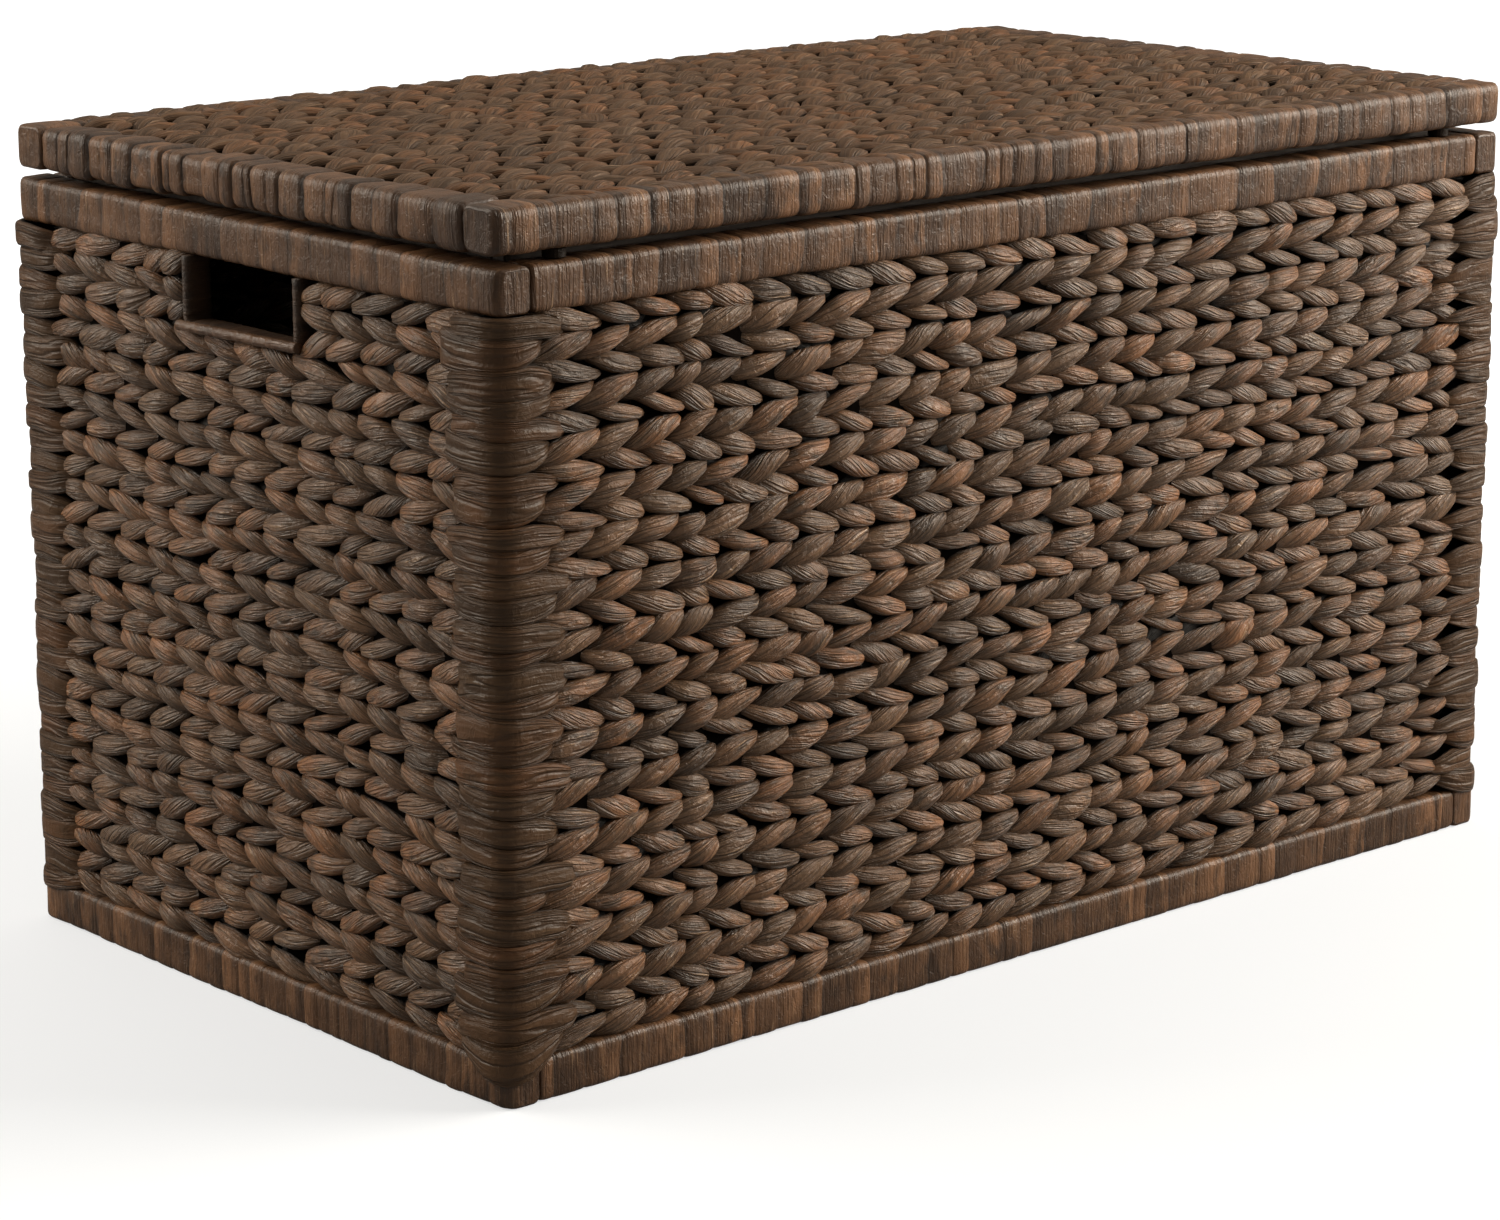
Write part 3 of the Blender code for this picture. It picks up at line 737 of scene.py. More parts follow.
def wind_strips(rng, length, look):
    """Strips of uneven width along a rail: distances, and the lift, the skew and the tone at each."""
    edges = [0.0]
    while edges[-1] < length:
        edges.append(edges[-1] + look["strip"] * float(np.clip(rng.lognormal(-0.08, 0.42), 0.3, 2.2)))
    edges = np.array(edges) * (length / edges[-1])
    count = len(edges) - 1
    bulge = look["bulge"] * np.clip(rng.normal(1.0, 0.35, (count, 1)), 0.2, 1.9)
    groove = look["groove"] * np.clip(rng.normal(1.0, 0.6, count + 1), 0.1, 2.6)
    slant = rng.normal(0.0, look["slant"], count + 1)
    slant[0] = slant[-1] = 0.0
    shade = rng.beta(0.9, 1.0, (count, 1))
    warm = rng.beta(1.2, 1.6, (count, 1))
    stand = rng.normal(0.0, look["bulge"] * 0.35, (count, 1))

    def between(ends):
        return ends[:-1, None] * (1.0 - STRIP_STATIONS) + ends[1:, None] * STRIP_STATIONS

    rounded = np.array([(1.0 - abs(2.0 * f - 1.0) ** 4) ** 0.6 for f in STRIP_STATIONS.tolist()])
    lift = -between(groove) * (1.0 - rounded) + (bulge * rounded + stand * rounded)
    # Cover drops in the seams between strips, where the leaf finish paints shade; look["seam"] sets how much
    # light is left there.
    open_to = look["seam"] + (1.0 - look["seam"]) * rounded
    tones = stacked(shade, warm, STRIP_STATIONS, open_to).reshape(-1, 4)
    tones = np.append(tones, [[shade[-1, 0], warm[-1, 0], 1.0, look["seam"]]], 0)
    s, skew = np.append(between(edges), length), np.append(between(slant), 0.0)
    return s, np.append(lift, -groove[-1]), skew, tones


def inset(distance, radius):
    """How far a rounded end of that radius stands back at a distance from the end."""
    distance = np.minimum(distance, radius)
    return (radius - np.sqrt(np.maximum(radius**2 - (radius - distance) ** 2, 0.0)))[:, None]


def wrapped_rail(name, node, outward, look, finish, body, seed):
    """A rail wound with strips, in the box of its CAD node. outward is its side away from the trunk."""
    low, high = (np.array(corner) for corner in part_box(node))
    rng = np.random.RandomState(seed)
    axis = int(np.argmax((high - low)[:2]))
    other = 1 - axis
    middle = 0.5 * (low + high)
    length = high[axis] - low[axis]
    half_p, half_q = 0.5 * (high[other] - low[other]), 0.5 * (high[2] - low[2])
    s, lift, skew, tones = wind_strips(rng, length, look)
    inner = (s > END_RINGS[-1] + 0.001) & (s < length - END_RINGS[-1] - 0.001)
    at = np.concatenate([END_RINGS, s[inner], length - END_RINGS[::-1]])
    lift, skew = np.interp(at, s, lift), np.interp(at, s, skew)
    tones = np.stack([np.interp(at, s, tones[:, k]) for k in range(4)], -1)
    # The rail's ends are kept nearly clear of the painted seam shade.
    tones[np.minimum(at, length - at) < 0.004, 3] = 0.95

    section, run = rounded_section(half_p, half_q, look["radius"])
    out = unit(section)
    out = unit(np.sign(out) * np.abs(out) ** 0.5)
    phase = rng.uniform(0.0, ROUND, 6)
    uneven = look["wander"] * (
        np.sin(at * 31.0 + phase[0])[:, None] * np.cos(3.0 * run / run[-1] * ROUND + phase[1])
        + 0.6 * np.sin(at * 83.0 + phase[2])[:, None] * np.cos(2.0 * run / run[-1] * ROUND + phase[3])
    )
    raise_by = lift[:, None] + uneven - look["bulge"] * 0.8
    p, q = section[:, 0] + raise_by * out[:, 0], section[:, 1] + raise_by * out[:, 1]
    for distance in (at, length - at):
        outer = inset(distance, look["end"]) * np.clip(p / half_p, 0.0, 1.0)
        p = p - outer + inset(distance, INNER_RADIUS) * np.clip(-p / half_p, 0.0, 1.0)
        q = q - inset(distance, UPRIGHT_RADIUS) * np.clip(q / half_q, -1.0, 1.0)
    along = at[:, None] + skew[:, None] * np.sin(run / run[-1] * ROUND + phase[4])[None, :]
    along = np.clip(along, at[0], at[-1])

    first_cap = stacked(CAP_RINGS * q[0] + half_q, CAP_RINGS * p[0] - half_p, 1.0)
    last_cap = stacked(CAP_RINGS * q[-1] + half_q, length + half_p - CAP_RINGS * p[-1], 1.0)[::-1]
    flow = np.concatenate([first_cap, stacked(run, along, 0.0), last_cap])[None]
    flow[..., 2] += seed % 37
    tip_flow = stacked(half_q, [-half_p, length + half_p], seed % 37 + 1.0)[None]
    p, q = (np.concatenate([CAP_RINGS * k[0], k, CAP_RINGS[::-1] * k[-1]]) for k in (p, q))
    caps = (len(CAP_RINGS), len(CAP_RINGS))
    along, tones = (np.pad(values, (caps, (0, 0)), "edge") for values in (along, tones))

    def place(along, p, q):
        points = np.zeros(along.shape + (3,))
        points[..., axis] = low[axis] + along
        points[..., other] = middle[other] + p * outward
        points[..., 2] = middle[2] + q
        return points[None]

    tips = place(np.array([0.0, length]), np.zeros(2), np.zeros(2))
    strands = Strands()
    strands.add(place(along, p, q), tips, flow, tones[None, :, None], tip_flow)
    strands.piece(name, finish, body, "wrapped_leaf", (node,))


def rail_look(kind):
    """How the strips lie on the lid's rails, or on the rim and the base."""
    rails = settings().rails
    # seam is the Cover left in the seams between strips: lower values paint more shade there.
    if kind == "lid":
        return {
            "strip": rails.lid_strip,
            "bulge": rails.lid_bulge,
            "groove": 0.0007,
            "seam": 0.38,
            "slant": 0.0011,
            "radius": 0.0050,
            "wander": 0.00035,
        }
    return {
        "strip": rails.body_strip,
        "bulge": rails.body_bulge,
        "groove": 0.00025,
        "seam": 0.60,
        "slant": 0.0012,
        "radius": 0.0035,
        "wander": 0.00030,
    }


def make_rails(level, body, finish, end_radius, butted):
    """The four rails of one level. The butted ones end against the others."""
    for index, (side, outward) in enumerate(RAIL_SIDES.items()):
        look = rail_look("lid" if level == "lid_rail" else "body")
        if level == "lid_rail" and side in ("front", "back"):
            look.update(strip=look["strip"] * 1.25, bulge=look["bulge"] * 0.35, groove=0.0004, seam=0.5)
        look["end"] = BUTTED_RADIUS if side in butted else end_radius
        seed = RAIL_SEEDS[level] + index * 7
        wrapped_rail(f"{level}_wrap_{side}", f"{level}_{side}", outward, look, finish, body, seed)


# ---------------------------------------------------------------- lid and hand holes


LID_SEED = 71
LID_LAP = 0.0185  # how far the rows run on over the front and back rails
HOLE_SEEDS = {"left": 83, "right": 89}
SWELL_HEIGHT = 0.00028  # of the ripples along a hand hole's binding
SWELL_RATE = 900.0


def lid_rows(reach, count):
    """Even rows across the lid, from its front edge."""
    return paired_rows(-reach, 2.0 * reach / count, count, 0.5)


def make_lid_weave(finish):
    """The woven top of the lid, which laps onto its rails, and its underside between them."""
    weave = settings().weave
    low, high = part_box("lid_panel")
    rng = np.random.RandomState(LID_SEED)
    reach_y = high.y + LID_LAP
    rows = lid_rows(reach_y, weave.lid_rows)
    face = Face((0.0, 0.0, high.z + 0.0024), ALONG_X, ALONG_Y, UP)
    edges = columns(rng, low.x + 0.003, high.x - 0.003, weave.pitch * 0.85)
    look = wall_look(weave)
    look.update(peak=1.20, tail=0.38, head=0.15, tuck=0.0016, crown=0.0020, width=weave.lobe_width * 0.90)
    look.update(depth=0.0040, sink=0.0070, ragged=0.0004, crease=0.00035, warmth=1.1)
    look.update(span=(-reach_y, reach_y), phase=1.9, ring=12)
    half = weave.lid_rows // 2
    for label, order in (("front", rows[:half]), ("back", rows[half:])):
        strands = Strands()
        twined_rows(strands, rng, face, order, lambda index: [edges], look, up_at_odd)
        nodes = ("lid_panel",) if label == "front" else ()
        strands.piece(f"lid_weave_{label}", finish, LID, "woven_leaf", nodes)

    inside = Face((0.0, 0.0, low.z + 0.0004), ALONG_X, ALONG_Y, -UP)
    rows = lid_rows(high.y - 0.001, weave.lid_rows - 2)
    look = lining_look(weave)
    look.update(depth=0.0034, sink=0.0040)

    def loose_columns(index):
        return [columns(rng, low.x + 0.012, high.x - 0.006, weave.pitch * 1.03)]

    strands = Strands()
    twined_rows(strands, rng, inside, rows, loose_columns, look, down_at_odd)
    strands.piece("lid_weave_underside", finish, LID, "woven_leaf")
    middles = 0.5 * (edges[1:] + edges[:-1])
    level = 0.5 * (low.z + high.z) - 0.002
    ends = [[[x, low.y + END_SPACE, level], [x, high.y - END_SPACE, level]] for x in middles]
    make_stakes("lid_weave_stakes", rng, ends, edges, UP, LID)


def make_hand_hole(name, finish):
    """The leaf binding round one hand hole: two smooth cheeks, a sill and a thin wound rod along its edge."""
    node = "hand_hole_frame_" + name
    low, high = (np.array(corner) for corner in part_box(node))
    face, _ = wall_faces()[name]
    rng = np.random.RandomState(HOLE_SEEDS[name])
    half = high[1] - 0.0030
    floor, top = low[2] + 0.0030, high[2] - 0.0002
    depth = 0.5 * (high[0] - low[0])
    corner = 0.0040
    bend = np.linspace(0.0, math.pi / 2, 6)
    left = np.concatenate(
        [
            stacked(-half, np.linspace(top, floor + corner, 14)[:-1]),
            stacked(-half + corner - corner * np.cos(bend), floor + corner - corner * np.sin(bend)),
        ]
    )
    sill = stacked(np.linspace(-half + corner, half - corner, 26)[1:-1], floor)
    path = np.concatenate([left, sill, left[::-1] * (-1.0, 1.0)])
    steps = np.linalg.norm(np.diff(path, axis=0), axis=1)
    run = np.concatenate([[0.0], np.cumsum(steps)])
    tangent = unit(np.gradient(path, axis=0))
    side = stacked(-tangent[:, 1], tangent[:, 0])
    cosine, sine, turn = oval(16, 3.2)
    swell = 0.0030 + SWELL_HEIGHT * np.sin(run * SWELL_RATE + rng.uniform(0, ROUND))
    swell = swell + rng.normal(0.0, 0.0001, len(run))
    across = path[:, None, :] + (swell[:, None] * sine)[..., None] * side[:, None, :]
    local = stacked(across[..., 0], across[..., 1], -depth + depth * 0.985 * cosine)
    ends = stacked(path[[0, -1], 0], path[[0, -1], 1], -depth)
    flow = stacked(0.046 * turn, run[:, None], 3.0)
    strands = Strands()
    # The cheeks' low shade and cover darken them: painted shade for the inside of the hand hole.
    strands.add(face.place(local)[None], face.place(ends)[None], flow, (0.30, 0.35, 0.5, 0.55))
    rod_z, rod_n = low[2] + 0.0038, 0.0006
    ends = np.array([[[-half - 0.004, rod_z + 0.001, rod_n], [half + 0.004, rod_z - 0.001, rod_n]]])
    rods(strands, rng, face.place(ends), 0.0029, 0.6, 0.95, segments=60, ring=10, wave=0.00035)
    strands.piece("hand_hole_binding_" + name, finish, CHEST, "wrapped_leaf", (node,))


# ---------------------------------------------------------------- finishes


def new_group(name, inputs, outputs):
    """An empty node group with named sockets, and its input and output nodes."""
    group = bpy.data.node_groups.new(name, "ShaderNodeTree")
    for socket, kind, default in inputs:
        made = group.interface.new_socket(name=socket, in_out="INPUT", socket_type="NodeSocket" + kind)
        if default is not None:
            made.default_value = default
    for socket, kind in outputs:
        group.interface.new_socket(name=socket, in_out="OUTPUT", socket_type="NodeSocket" + kind)
    return group, group.nodes.new("NodeGroupInput"), group.nodes.new("NodeGroupOutput")


def link(tree, value, socket):
    """Feeds a socket from an output, or sets it to a plain value."""
    if isinstance(value, bpy.types.NodeSocket):
        tree.links.new(value, socket)
    elif value is not None:
        socket.default_value = value


def math_node(tree, operation, a, b=None, c=None, clamp=False):
    """The result of one Math node."""
    node = tree.nodes.new("ShaderNodeMath")
    node.operation = operation
    node.use_clamp = clamp
    for value, socket in zip((a, b, c), node.inputs):
        link(tree, value, socket)
    return node.outputs[0]


def blend_colours(tree, factor, a, b, mode="MIX"):
    """The result of mixing two colours."""
    node = tree.nodes.new("ShaderNodeMix")
    node.data_type = "RGBA"
    node.blend_type = mode
    node.clamp_factor = True
    link(tree, factor, node.inputs[0])
    link(tree, a, node.inputs[6])
    link(tree, b, node.inputs[7])
    return node.outputs[2]


def noise(tree, vector, scale, detail, roughness=0.5, distortion=0.0):
    """The value of a noise texture at a vector."""
    node = tree.nodes.new("ShaderNodeTexNoise")
    link(tree, vector, node.inputs["Vector"])
    node.inputs["Scale"].default_value = scale
    node.inputs["Detail"].default_value = detail
    node.inputs["Roughness"].default_value = roughness
    node.inputs["Distortion"].default_value = distortion
    return node.outputs[0]


def ranged(tree, value, low, high, to_low=0.0, to_high=1.0):
    """A value carried smoothly from one range to another."""
    node = tree.nodes.new("ShaderNodeMapRange")
    node.interpolation_type = "SMOOTHSTEP"
    link(tree, value, node.inputs["Value"])
    for socket, number in (("From Min", low), ("From Max", high), ("To Min", to_low), ("To Max", to_high)):
        node.inputs[socket].default_value = number
    return node.outputs[0]


def make_leaf_fibre():
    """Fibres, pleats and crinkles that run along a leaf."""
    group, given, result = new_group(
        "Leaf Fibre",
        (
            ("Flow", "Vector", None),
            ("Fibre Width", "Float", 0.001),
            ("Fibre Length", "Float", 0.02),
            ("Pleats", "Float", 0.5),
            ("Crinkle", "Float", 0.2),
        ),
        (("Fibre", "Float"), ("Pleat", "Float"), ("Patch", "Float"), ("Height", "Float")),
    )
    parts = group.nodes.new("ShaderNodeSeparateXYZ")
    link(group, given.outputs["Flow"], parts.inputs[0])
    along, across, key = parts.outputs

    def stretched(length_by, width_by, shift):
        join = group.nodes.new("ShaderNodeCombineXYZ")
        long_unit = math_node(group, "MULTIPLY", given.outputs["Fibre Length"], length_by)
        wide_unit = math_node(group, "MULTIPLY", given.outputs["Fibre Width"], width_by)
        link(group, math_node(group, "DIVIDE", along, long_unit), join.inputs[0])
        link(group, math_node(group, "DIVIDE", across, wide_unit), join.inputs[1])
        link(group, math_node(group, "ADD", key, shift), join.inputs[2])
        return join.outputs[0]

    fibre = noise(group, stretched(1.0, 1.0, 0.0), 1.0, 3.0, 0.6, 0.3)
    folds = noise(group, stretched(1.7, 2.6, 7.3), 1.0, 1.5, 0.5, 0.6)
    fold = math_node(group, "ABSOLUTE", math_node(group, "SUBTRACT", folds, 0.5))
    pleat = ranged(group, fold, 0.0, 0.11)
    patch = noise(group, stretched(0.6, 5.0, 13.1), 1.0, 2.0, 0.6, 0.0)
    crumple = noise(group, stretched(0.16, 2.2, 3.7), 1.0, 3.0, 0.65, 0.8)
    height = math_node(group, "MULTIPLY", pleat, given.outputs["Pleats"])
    height = math_node(group, "MULTIPLY_ADD", fibre, 0.55, height)
    height = math_node(group, "MULTIPLY_ADD", crumple, given.outputs["Crinkle"], height)
    for value, name in ((fibre, "Fibre"), (pleat, "Pleat"), (patch, "Patch"), (height, "Height")):
        link(group, value, result.inputs[name])
    return group


def make_leaf_tone():
    """The colour and the dullness of stained leaf, from its fibres and what each strip or lobe carries. It
    paints shade in the pleats, the seams and on hidden sides, and pale ridge fibres that are partly wear and
    partly a painted highlight.
    """
    group, given, result = new_group(
        "Leaf Tone",
        (
            ("Dark", "Color", None),
            ("Mid", "Color", None),
            ("Warm", "Color", None),
            ("Pale", "Color", None),
            ("Tone", "Color", None),
            ("Cover", "Float", 1.0),
            ("Fibre", "Float", 0.5),
            ("Pleat", "Float", 1.0),
            ("Patch", "Float", 0.5),
            ("Worn", "Float", 0.5),
            ("Streaks", "Float", 0.5),
            ("Matt", "Float", 0.0),
        ),
        (("Colour", "Color"), ("Dullness", "Float")),
    )
    parts = group.nodes.new("ShaderNodeSeparateColor")
    link(group, given.outputs["Tone"], parts.inputs[0])
    shade, warm, head = parts.outputs
    fibre, patch = given.outputs["Fibre"], given.outputs["Patch"]
    mixed = math_node(group, "MULTIPLY_ADD", patch, 0.9, math_node(group, "MULTIPLY_ADD", shade, 0.75, -0.42))
    streak = math_node(group, "MULTIPLY", math_node(group, "SUBTRACT", fibre, 0.5), given.outputs["Streaks"])
    mixed = math_node(group, "ADD", mixed, streak, clamp=True)
    colour = blend_colours(group, mixed, given.outputs["Dark"], given.outputs["Mid"])
    reddened = math_node(group, "MULTIPLY", warm, ranged(group, patch, 0.28, 0.62))
    reddened = math_node(group, "MULTIPLY", reddened, ranged(group, head, 0.15, 0.75, 0.35, 1.25))
    colour = blend_colours(group, reddened, colour, given.outputs["Warm"])
    # Pale fibres on the outer ridges, strongest towards the lobe's head: partly wear, partly a painted
    # highlight.
    ridge = math_node(group, "MULTIPLY", ranged(group, fibre, 0.56, 0.74), given.outputs["Cover"])
    ridge = math_node(group, "MULTIPLY", ridge, given.outputs["Worn"])
    ridge = math_node(group, "MULTIPLY", ridge, ranged(group, head, 0.25, 0.9, 0.35, 1.0))
    colour = blend_colours(group, ridge, colour, given.outputs["Pale"])
    # Painted shade: darker in the pleat valleys and wherever Cover is low, on the hidden backs, tucked tails
    # and seams.
    pleat_shade = ranged(group, given.outputs["Pleat"], 0.0, 1.0, 0.70, 1.0)
    hidden_side_shade = ranged(group, given.outputs["Cover"], 0.22, 0.96, 0.04, 1.0)
    painted_crevice_shade = math_node(group, "MULTIPLY", pleat_shade, hidden_side_shade)
    grey = group.nodes.new("ShaderNodeCombineColor")
    for socket in grey.inputs:
        link(group, painted_crevice_shade, socket)
    colour = blend_colours(group, 1.0, colour, grey.outputs[0], "MULTIPLY")
    satin = ranged(group, fibre, 0.25, 0.75, 0.52, 0.27)
    hidden = ranged(group, given.outputs["Cover"], 0.1, 0.8, 0.6, 0.0)
    hidden = math_node(group, "ADD", hidden, given.outputs["Matt"])
    dull = math_node(group, "ADD", satin, hidden, clamp=True)
    link(group, colour, result.inputs["Colour"])
    link(group, dull, result.inputs["Dullness"])
    return group


def make_wood_grain():
    """Straight grain along X for stained softwood."""
    group, given, result = new_group(
        "Wood Grain",
        (("Place", "Vector", None), ("Light", "Color", None), ("Deep", "Color", None)),
        (("Colour", "Color"), ("Dullness", "Float"), ("Height", "Float")),
    )
    stretch = group.nodes.new("ShaderNodeMapping")
    stretch.inputs["Scale"].default_value = (6.0, 90.0, 90.0)
    link(group, given.outputs["Place"], stretch.inputs["Vector"])
    rings = noise(group, stretch.outputs[0], 1.0, 4.0, 0.6, 1.2)
    pores = noise(group, stretch.outputs[0], 6.0, 2.0, 0.5, 0.0)
    tint = math_node(group, "MULTIPLY_ADD", rings, 1.4, -0.45)
    tint = math_node(group, "MULTIPLY_ADD", pores, 0.35, tint, clamp=True)
    colour = blend_colours(group, tint, given.outputs["Deep"], given.outputs["Light"])
    link(group, colour, result.inputs["Colour"])
    link(group, ranged(group, pores, 0.3, 0.7, 0.65, 0.48), result.inputs["Dullness"])
    link(group, math_node(group, "MULTIPLY_ADD", rings, 0.5, pores), result.inputs["Height"])
    return group


def make_fine_wear():
    """Small uneven marks for coated metal and felt."""
    group, given, result = new_group(
        "Fine Wear",
        (
            ("Place", "Vector", None),
            ("Grain", "Float", 400.0),
            ("Base", "Color", None),
            ("Rubbed", "Color", None),
        ),
        (("Colour", "Color"), ("Dullness", "Float"), ("Height", "Float")),
    )
    node = group.nodes.new("ShaderNodeTexNoise")
    link(group, given.outputs["Place"], node.inputs["Vector"])
    link(group, given.outputs["Grain"], node.inputs["Scale"])
    node.inputs["Detail"].default_value = 3.0
    broad = noise(group, given.outputs["Place"], 60.0, 3.0, 0.6)
    rubbed = ranged(group, broad, 0.5, 0.75)
    rubbed = math_node(group, "MULTIPLY", rubbed, ranged(group, node.outputs[0], 0.4, 0.7))
    colour = blend_colours(group, rubbed, given.outputs["Base"], given.outputs["Rubbed"])
    link(group, colour, result.inputs["Colour"])
    link(group, ranged(group, node.outputs[0], 0.3, 0.7, 0.55, 0.35), result.inputs["Dullness"])
    link(group, node.outputs[0], result.inputs["Height"])
    return group


def effect(name, maker):
    """A shared node group, made the first time it is asked for."""
    return bpy.data.node_groups.get(name) or maker()


def new_material(name, bump_distance, bump_strength, specular=0.5, coat=0.0, coat_roughness=0.3):
    """A material with one Principled shader and a bump in front of its normal."""
    material = bpy.data.materials.new(name)
    material.use_nodes = True
    tree = material.node_tree
    shader = tree.nodes["Principled BSDF"]
    shader.inputs["Specular IOR Level"].default_value = specular
    shader.inputs["Coat Weight"].default_value = coat
    shader.inputs["Coat Roughness"].default_value = coat_roughness
    bump = tree.nodes.new("ShaderNodeBump")
    bump.inputs["Strength"].default_value = bump_strength
    bump.inputs["Distance"].default_value = bump_distance
    link(tree, bump.outputs["Normal"], shader.inputs["Normal"])
    return material, tree, shader, bump


def in_group(tree, group, **given):
    """A node group placed in a tree with its own values. Underscores stand for spaces."""
    node = tree.nodes.new("ShaderNodeGroup")
    node.node_tree = group
    for name, value in given.items():
        link(tree, value, node.inputs[name.replace("_", " ")])
    return node


def attribute(tree, name):
    """A mesh attribute's node."""
    node = tree.nodes.new("ShaderNodeAttribute")
    node.attribute_name = name
    return node


def scaled(colour, by):
    """A colour made lighter or darker, with alpha."""
    return tuple(min(1.0, channel * by) for channel in colour) + (1.0,)


# Each leaf's four colours as shares of the finish settings, its fibre width, fibre length, pleats and
# crinkle, its bump distance and strength, its shine, and what else its tone is given.
LEAF_LOOKS = {
    "wall": {
        "colours": (("leaf_dark", 1.0), ("leaf_mid", 1.0), ("leaf_warm", 1.0), ("leaf_pale", 1.0)),
        "fibre": (0.0012, 0.018, 0.48, 0.65),
        "bump": (0.0016, 1.0),
        "shine": {"specular": 0.44, "coat": 0.05},
        "tone": {"Worn": 0.75, "Streaks": 0.42},
    },
    "lid": {
        "colours": (("leaf_dark", 1.0), ("leaf_mid", 0.74), ("leaf_warm", 0.60), ("leaf_pale", 0.85)),
        "fibre": (0.0013, 0.022, 0.50, 0.45),
        "bump": (0.0012, 0.9),
        "shine": {"specular": 0.22},
        "tone": {"Worn": 0.60, "Streaks": 0.60, "Matt": 0.20},
    },
    # The stakes' leaf: darkened shares and little shine, painted shade for the gaps between lobes.
    "core": {
        "colours": (("leaf_dark", 0.5), ("leaf_mid", 0.3), ("leaf_warm", 0.3), ("leaf_pale", 0.3)),
        "fibre": (0.0012, 0.045, 0.50, 0.30),
        "bump": (0.0010, 0.5),
        "shine": {"specular": 0.03},
        "tone": {"Worn": 0.10, "Streaks": 0.30},
    },
    # The corner bands' leaf is a darker copy: partly painted shade for the corner that faces away from the
    # lamps.
    "corner": {
        "colours": (("leaf_dark", 1.0), ("leaf_mid", 0.52), ("leaf_warm", 0.46), ("leaf_pale", 0.5)),
        "fibre": (0.0012, 0.040, 0.50, 0.60),
        "bump": (0.0015, 1.0),
        "shine": {"specular": 0.20},
        "tone": {"Worn": 0.40, "Streaks": 0.55},
    },
    "rail": {
        "colours": (("rail_warm", 0.26), ("rail_warm", 0.80), ("rail_warm", 1.30), ("leaf_pale", 0.8)),
        "fibre": (0.0015, 0.030, 0.15, 0.62),
        "bump": (0.0013, 1.0),
        "shine": {"specular": 0.36, "coat": 0.04},
        "tone": {"Worn": 0.55, "Streaks": 0.26, "Pleat": 1.0},
    },
}


def leaf(kind):
    """The stained leaf of one kind, made the first time it is asked for."""
    title = kind + "_leaf_stain"
    made = bpy.data.materials.get(title)
    if made:
        return made
    look, finish = LEAF_LOOKS[kind], settings().finish
    material, tree, shader, bumped = new_material(title, *look["bump"], coat_roughness=0.28, **look["shine"])
    flow, tone = attribute(tree, "leaf_flow"), attribute(tree, "leaf_tone")
    width, length, pleats, crinkle = look["fibre"]
    fibres = in_group(
        tree,
        effect("Leaf Fibre", make_leaf_fibre),
        Flow=flow.outputs["Vector"],
        Fibre_Width=width,
        Fibre_Length=length,
        Pleats=pleats,
        Crinkle=crinkle,
    )
    stains = (scaled(getattr(finish, colour), share) for colour, share in look["colours"])
    given = dict(zip(("Dark", "Mid", "Warm", "Pale"), stains))
    given.update(Tone=tone.outputs["Color"], Cover=tone.outputs["Alpha"], Matt=0.0)
    given.update({name: fibres.outputs[name] for name in ("Fibre", "Pleat", "Patch")})
    given.update(look["tone"])
    colours = in_group(tree, effect("Leaf Tone", make_leaf_tone), **given)
    link(tree, colours.outputs["Colour"], shader.inputs["Base Color"])
    link(tree, colours.outputs["Dullness"], shader.inputs["Roughness"])
    link(tree, fibres.outputs["Height"], bumped.inputs["Height"])
    return material


def placed_material(name, group, maker, bump, specular=0.5, metallic=0.0, **given):
    """A finish for pieces that keep their frame shape, set out by their place on the trunk."""
    made = bpy.data.materials.get(name)
    if made:
        return made
    material, tree, shader, bumped = new_material(name, bump[0], bump[1], specular)
    shader.inputs["Metallic"].default_value = metallic
    place = tree.nodes.new("ShaderNodeTexCoord")
    node = in_group(tree, effect(group, maker), Place=place.outputs["Object"], **given)
    link(tree, node.outputs["Colour"], shader.inputs["Base Color"])
    link(tree, node.outputs["Dullness"], shader.inputs["Roughness"])
    link(tree, node.outputs["Height"], bumped.inputs["Height"])
    return material


def finish_node(node, material):
    """Gives a CAD piece that keeps its shape its finish."""
    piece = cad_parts[node]
    piece.data.materials.clear()
    piece.data.materials.append(material)


# ---------------------------------------------------------------- stage


def aim(thing, place, target):
    """Puts a lamp at a place, facing a target."""
    thing.location = place
    thing.rotation_euler = (Vector(target) - Vector(place)).to_track_quat("-Z", "Y").to_euler()


def softbox(name, place, target, size, power):
    """A square area lamp."""
    lamp = bpy.data.lights.new(name, "AREA")
    lamp.shape = "RECTANGLE"
    lamp.size, lamp.size_y = size
    lamp.energy = power
    lamp.color = settings().stage.lamp_colour
    thing = bpy.data.objects.new(name, lamp)
    bpy.context.scene.collection.objects.link(thing)
    aim(thing, place, target)


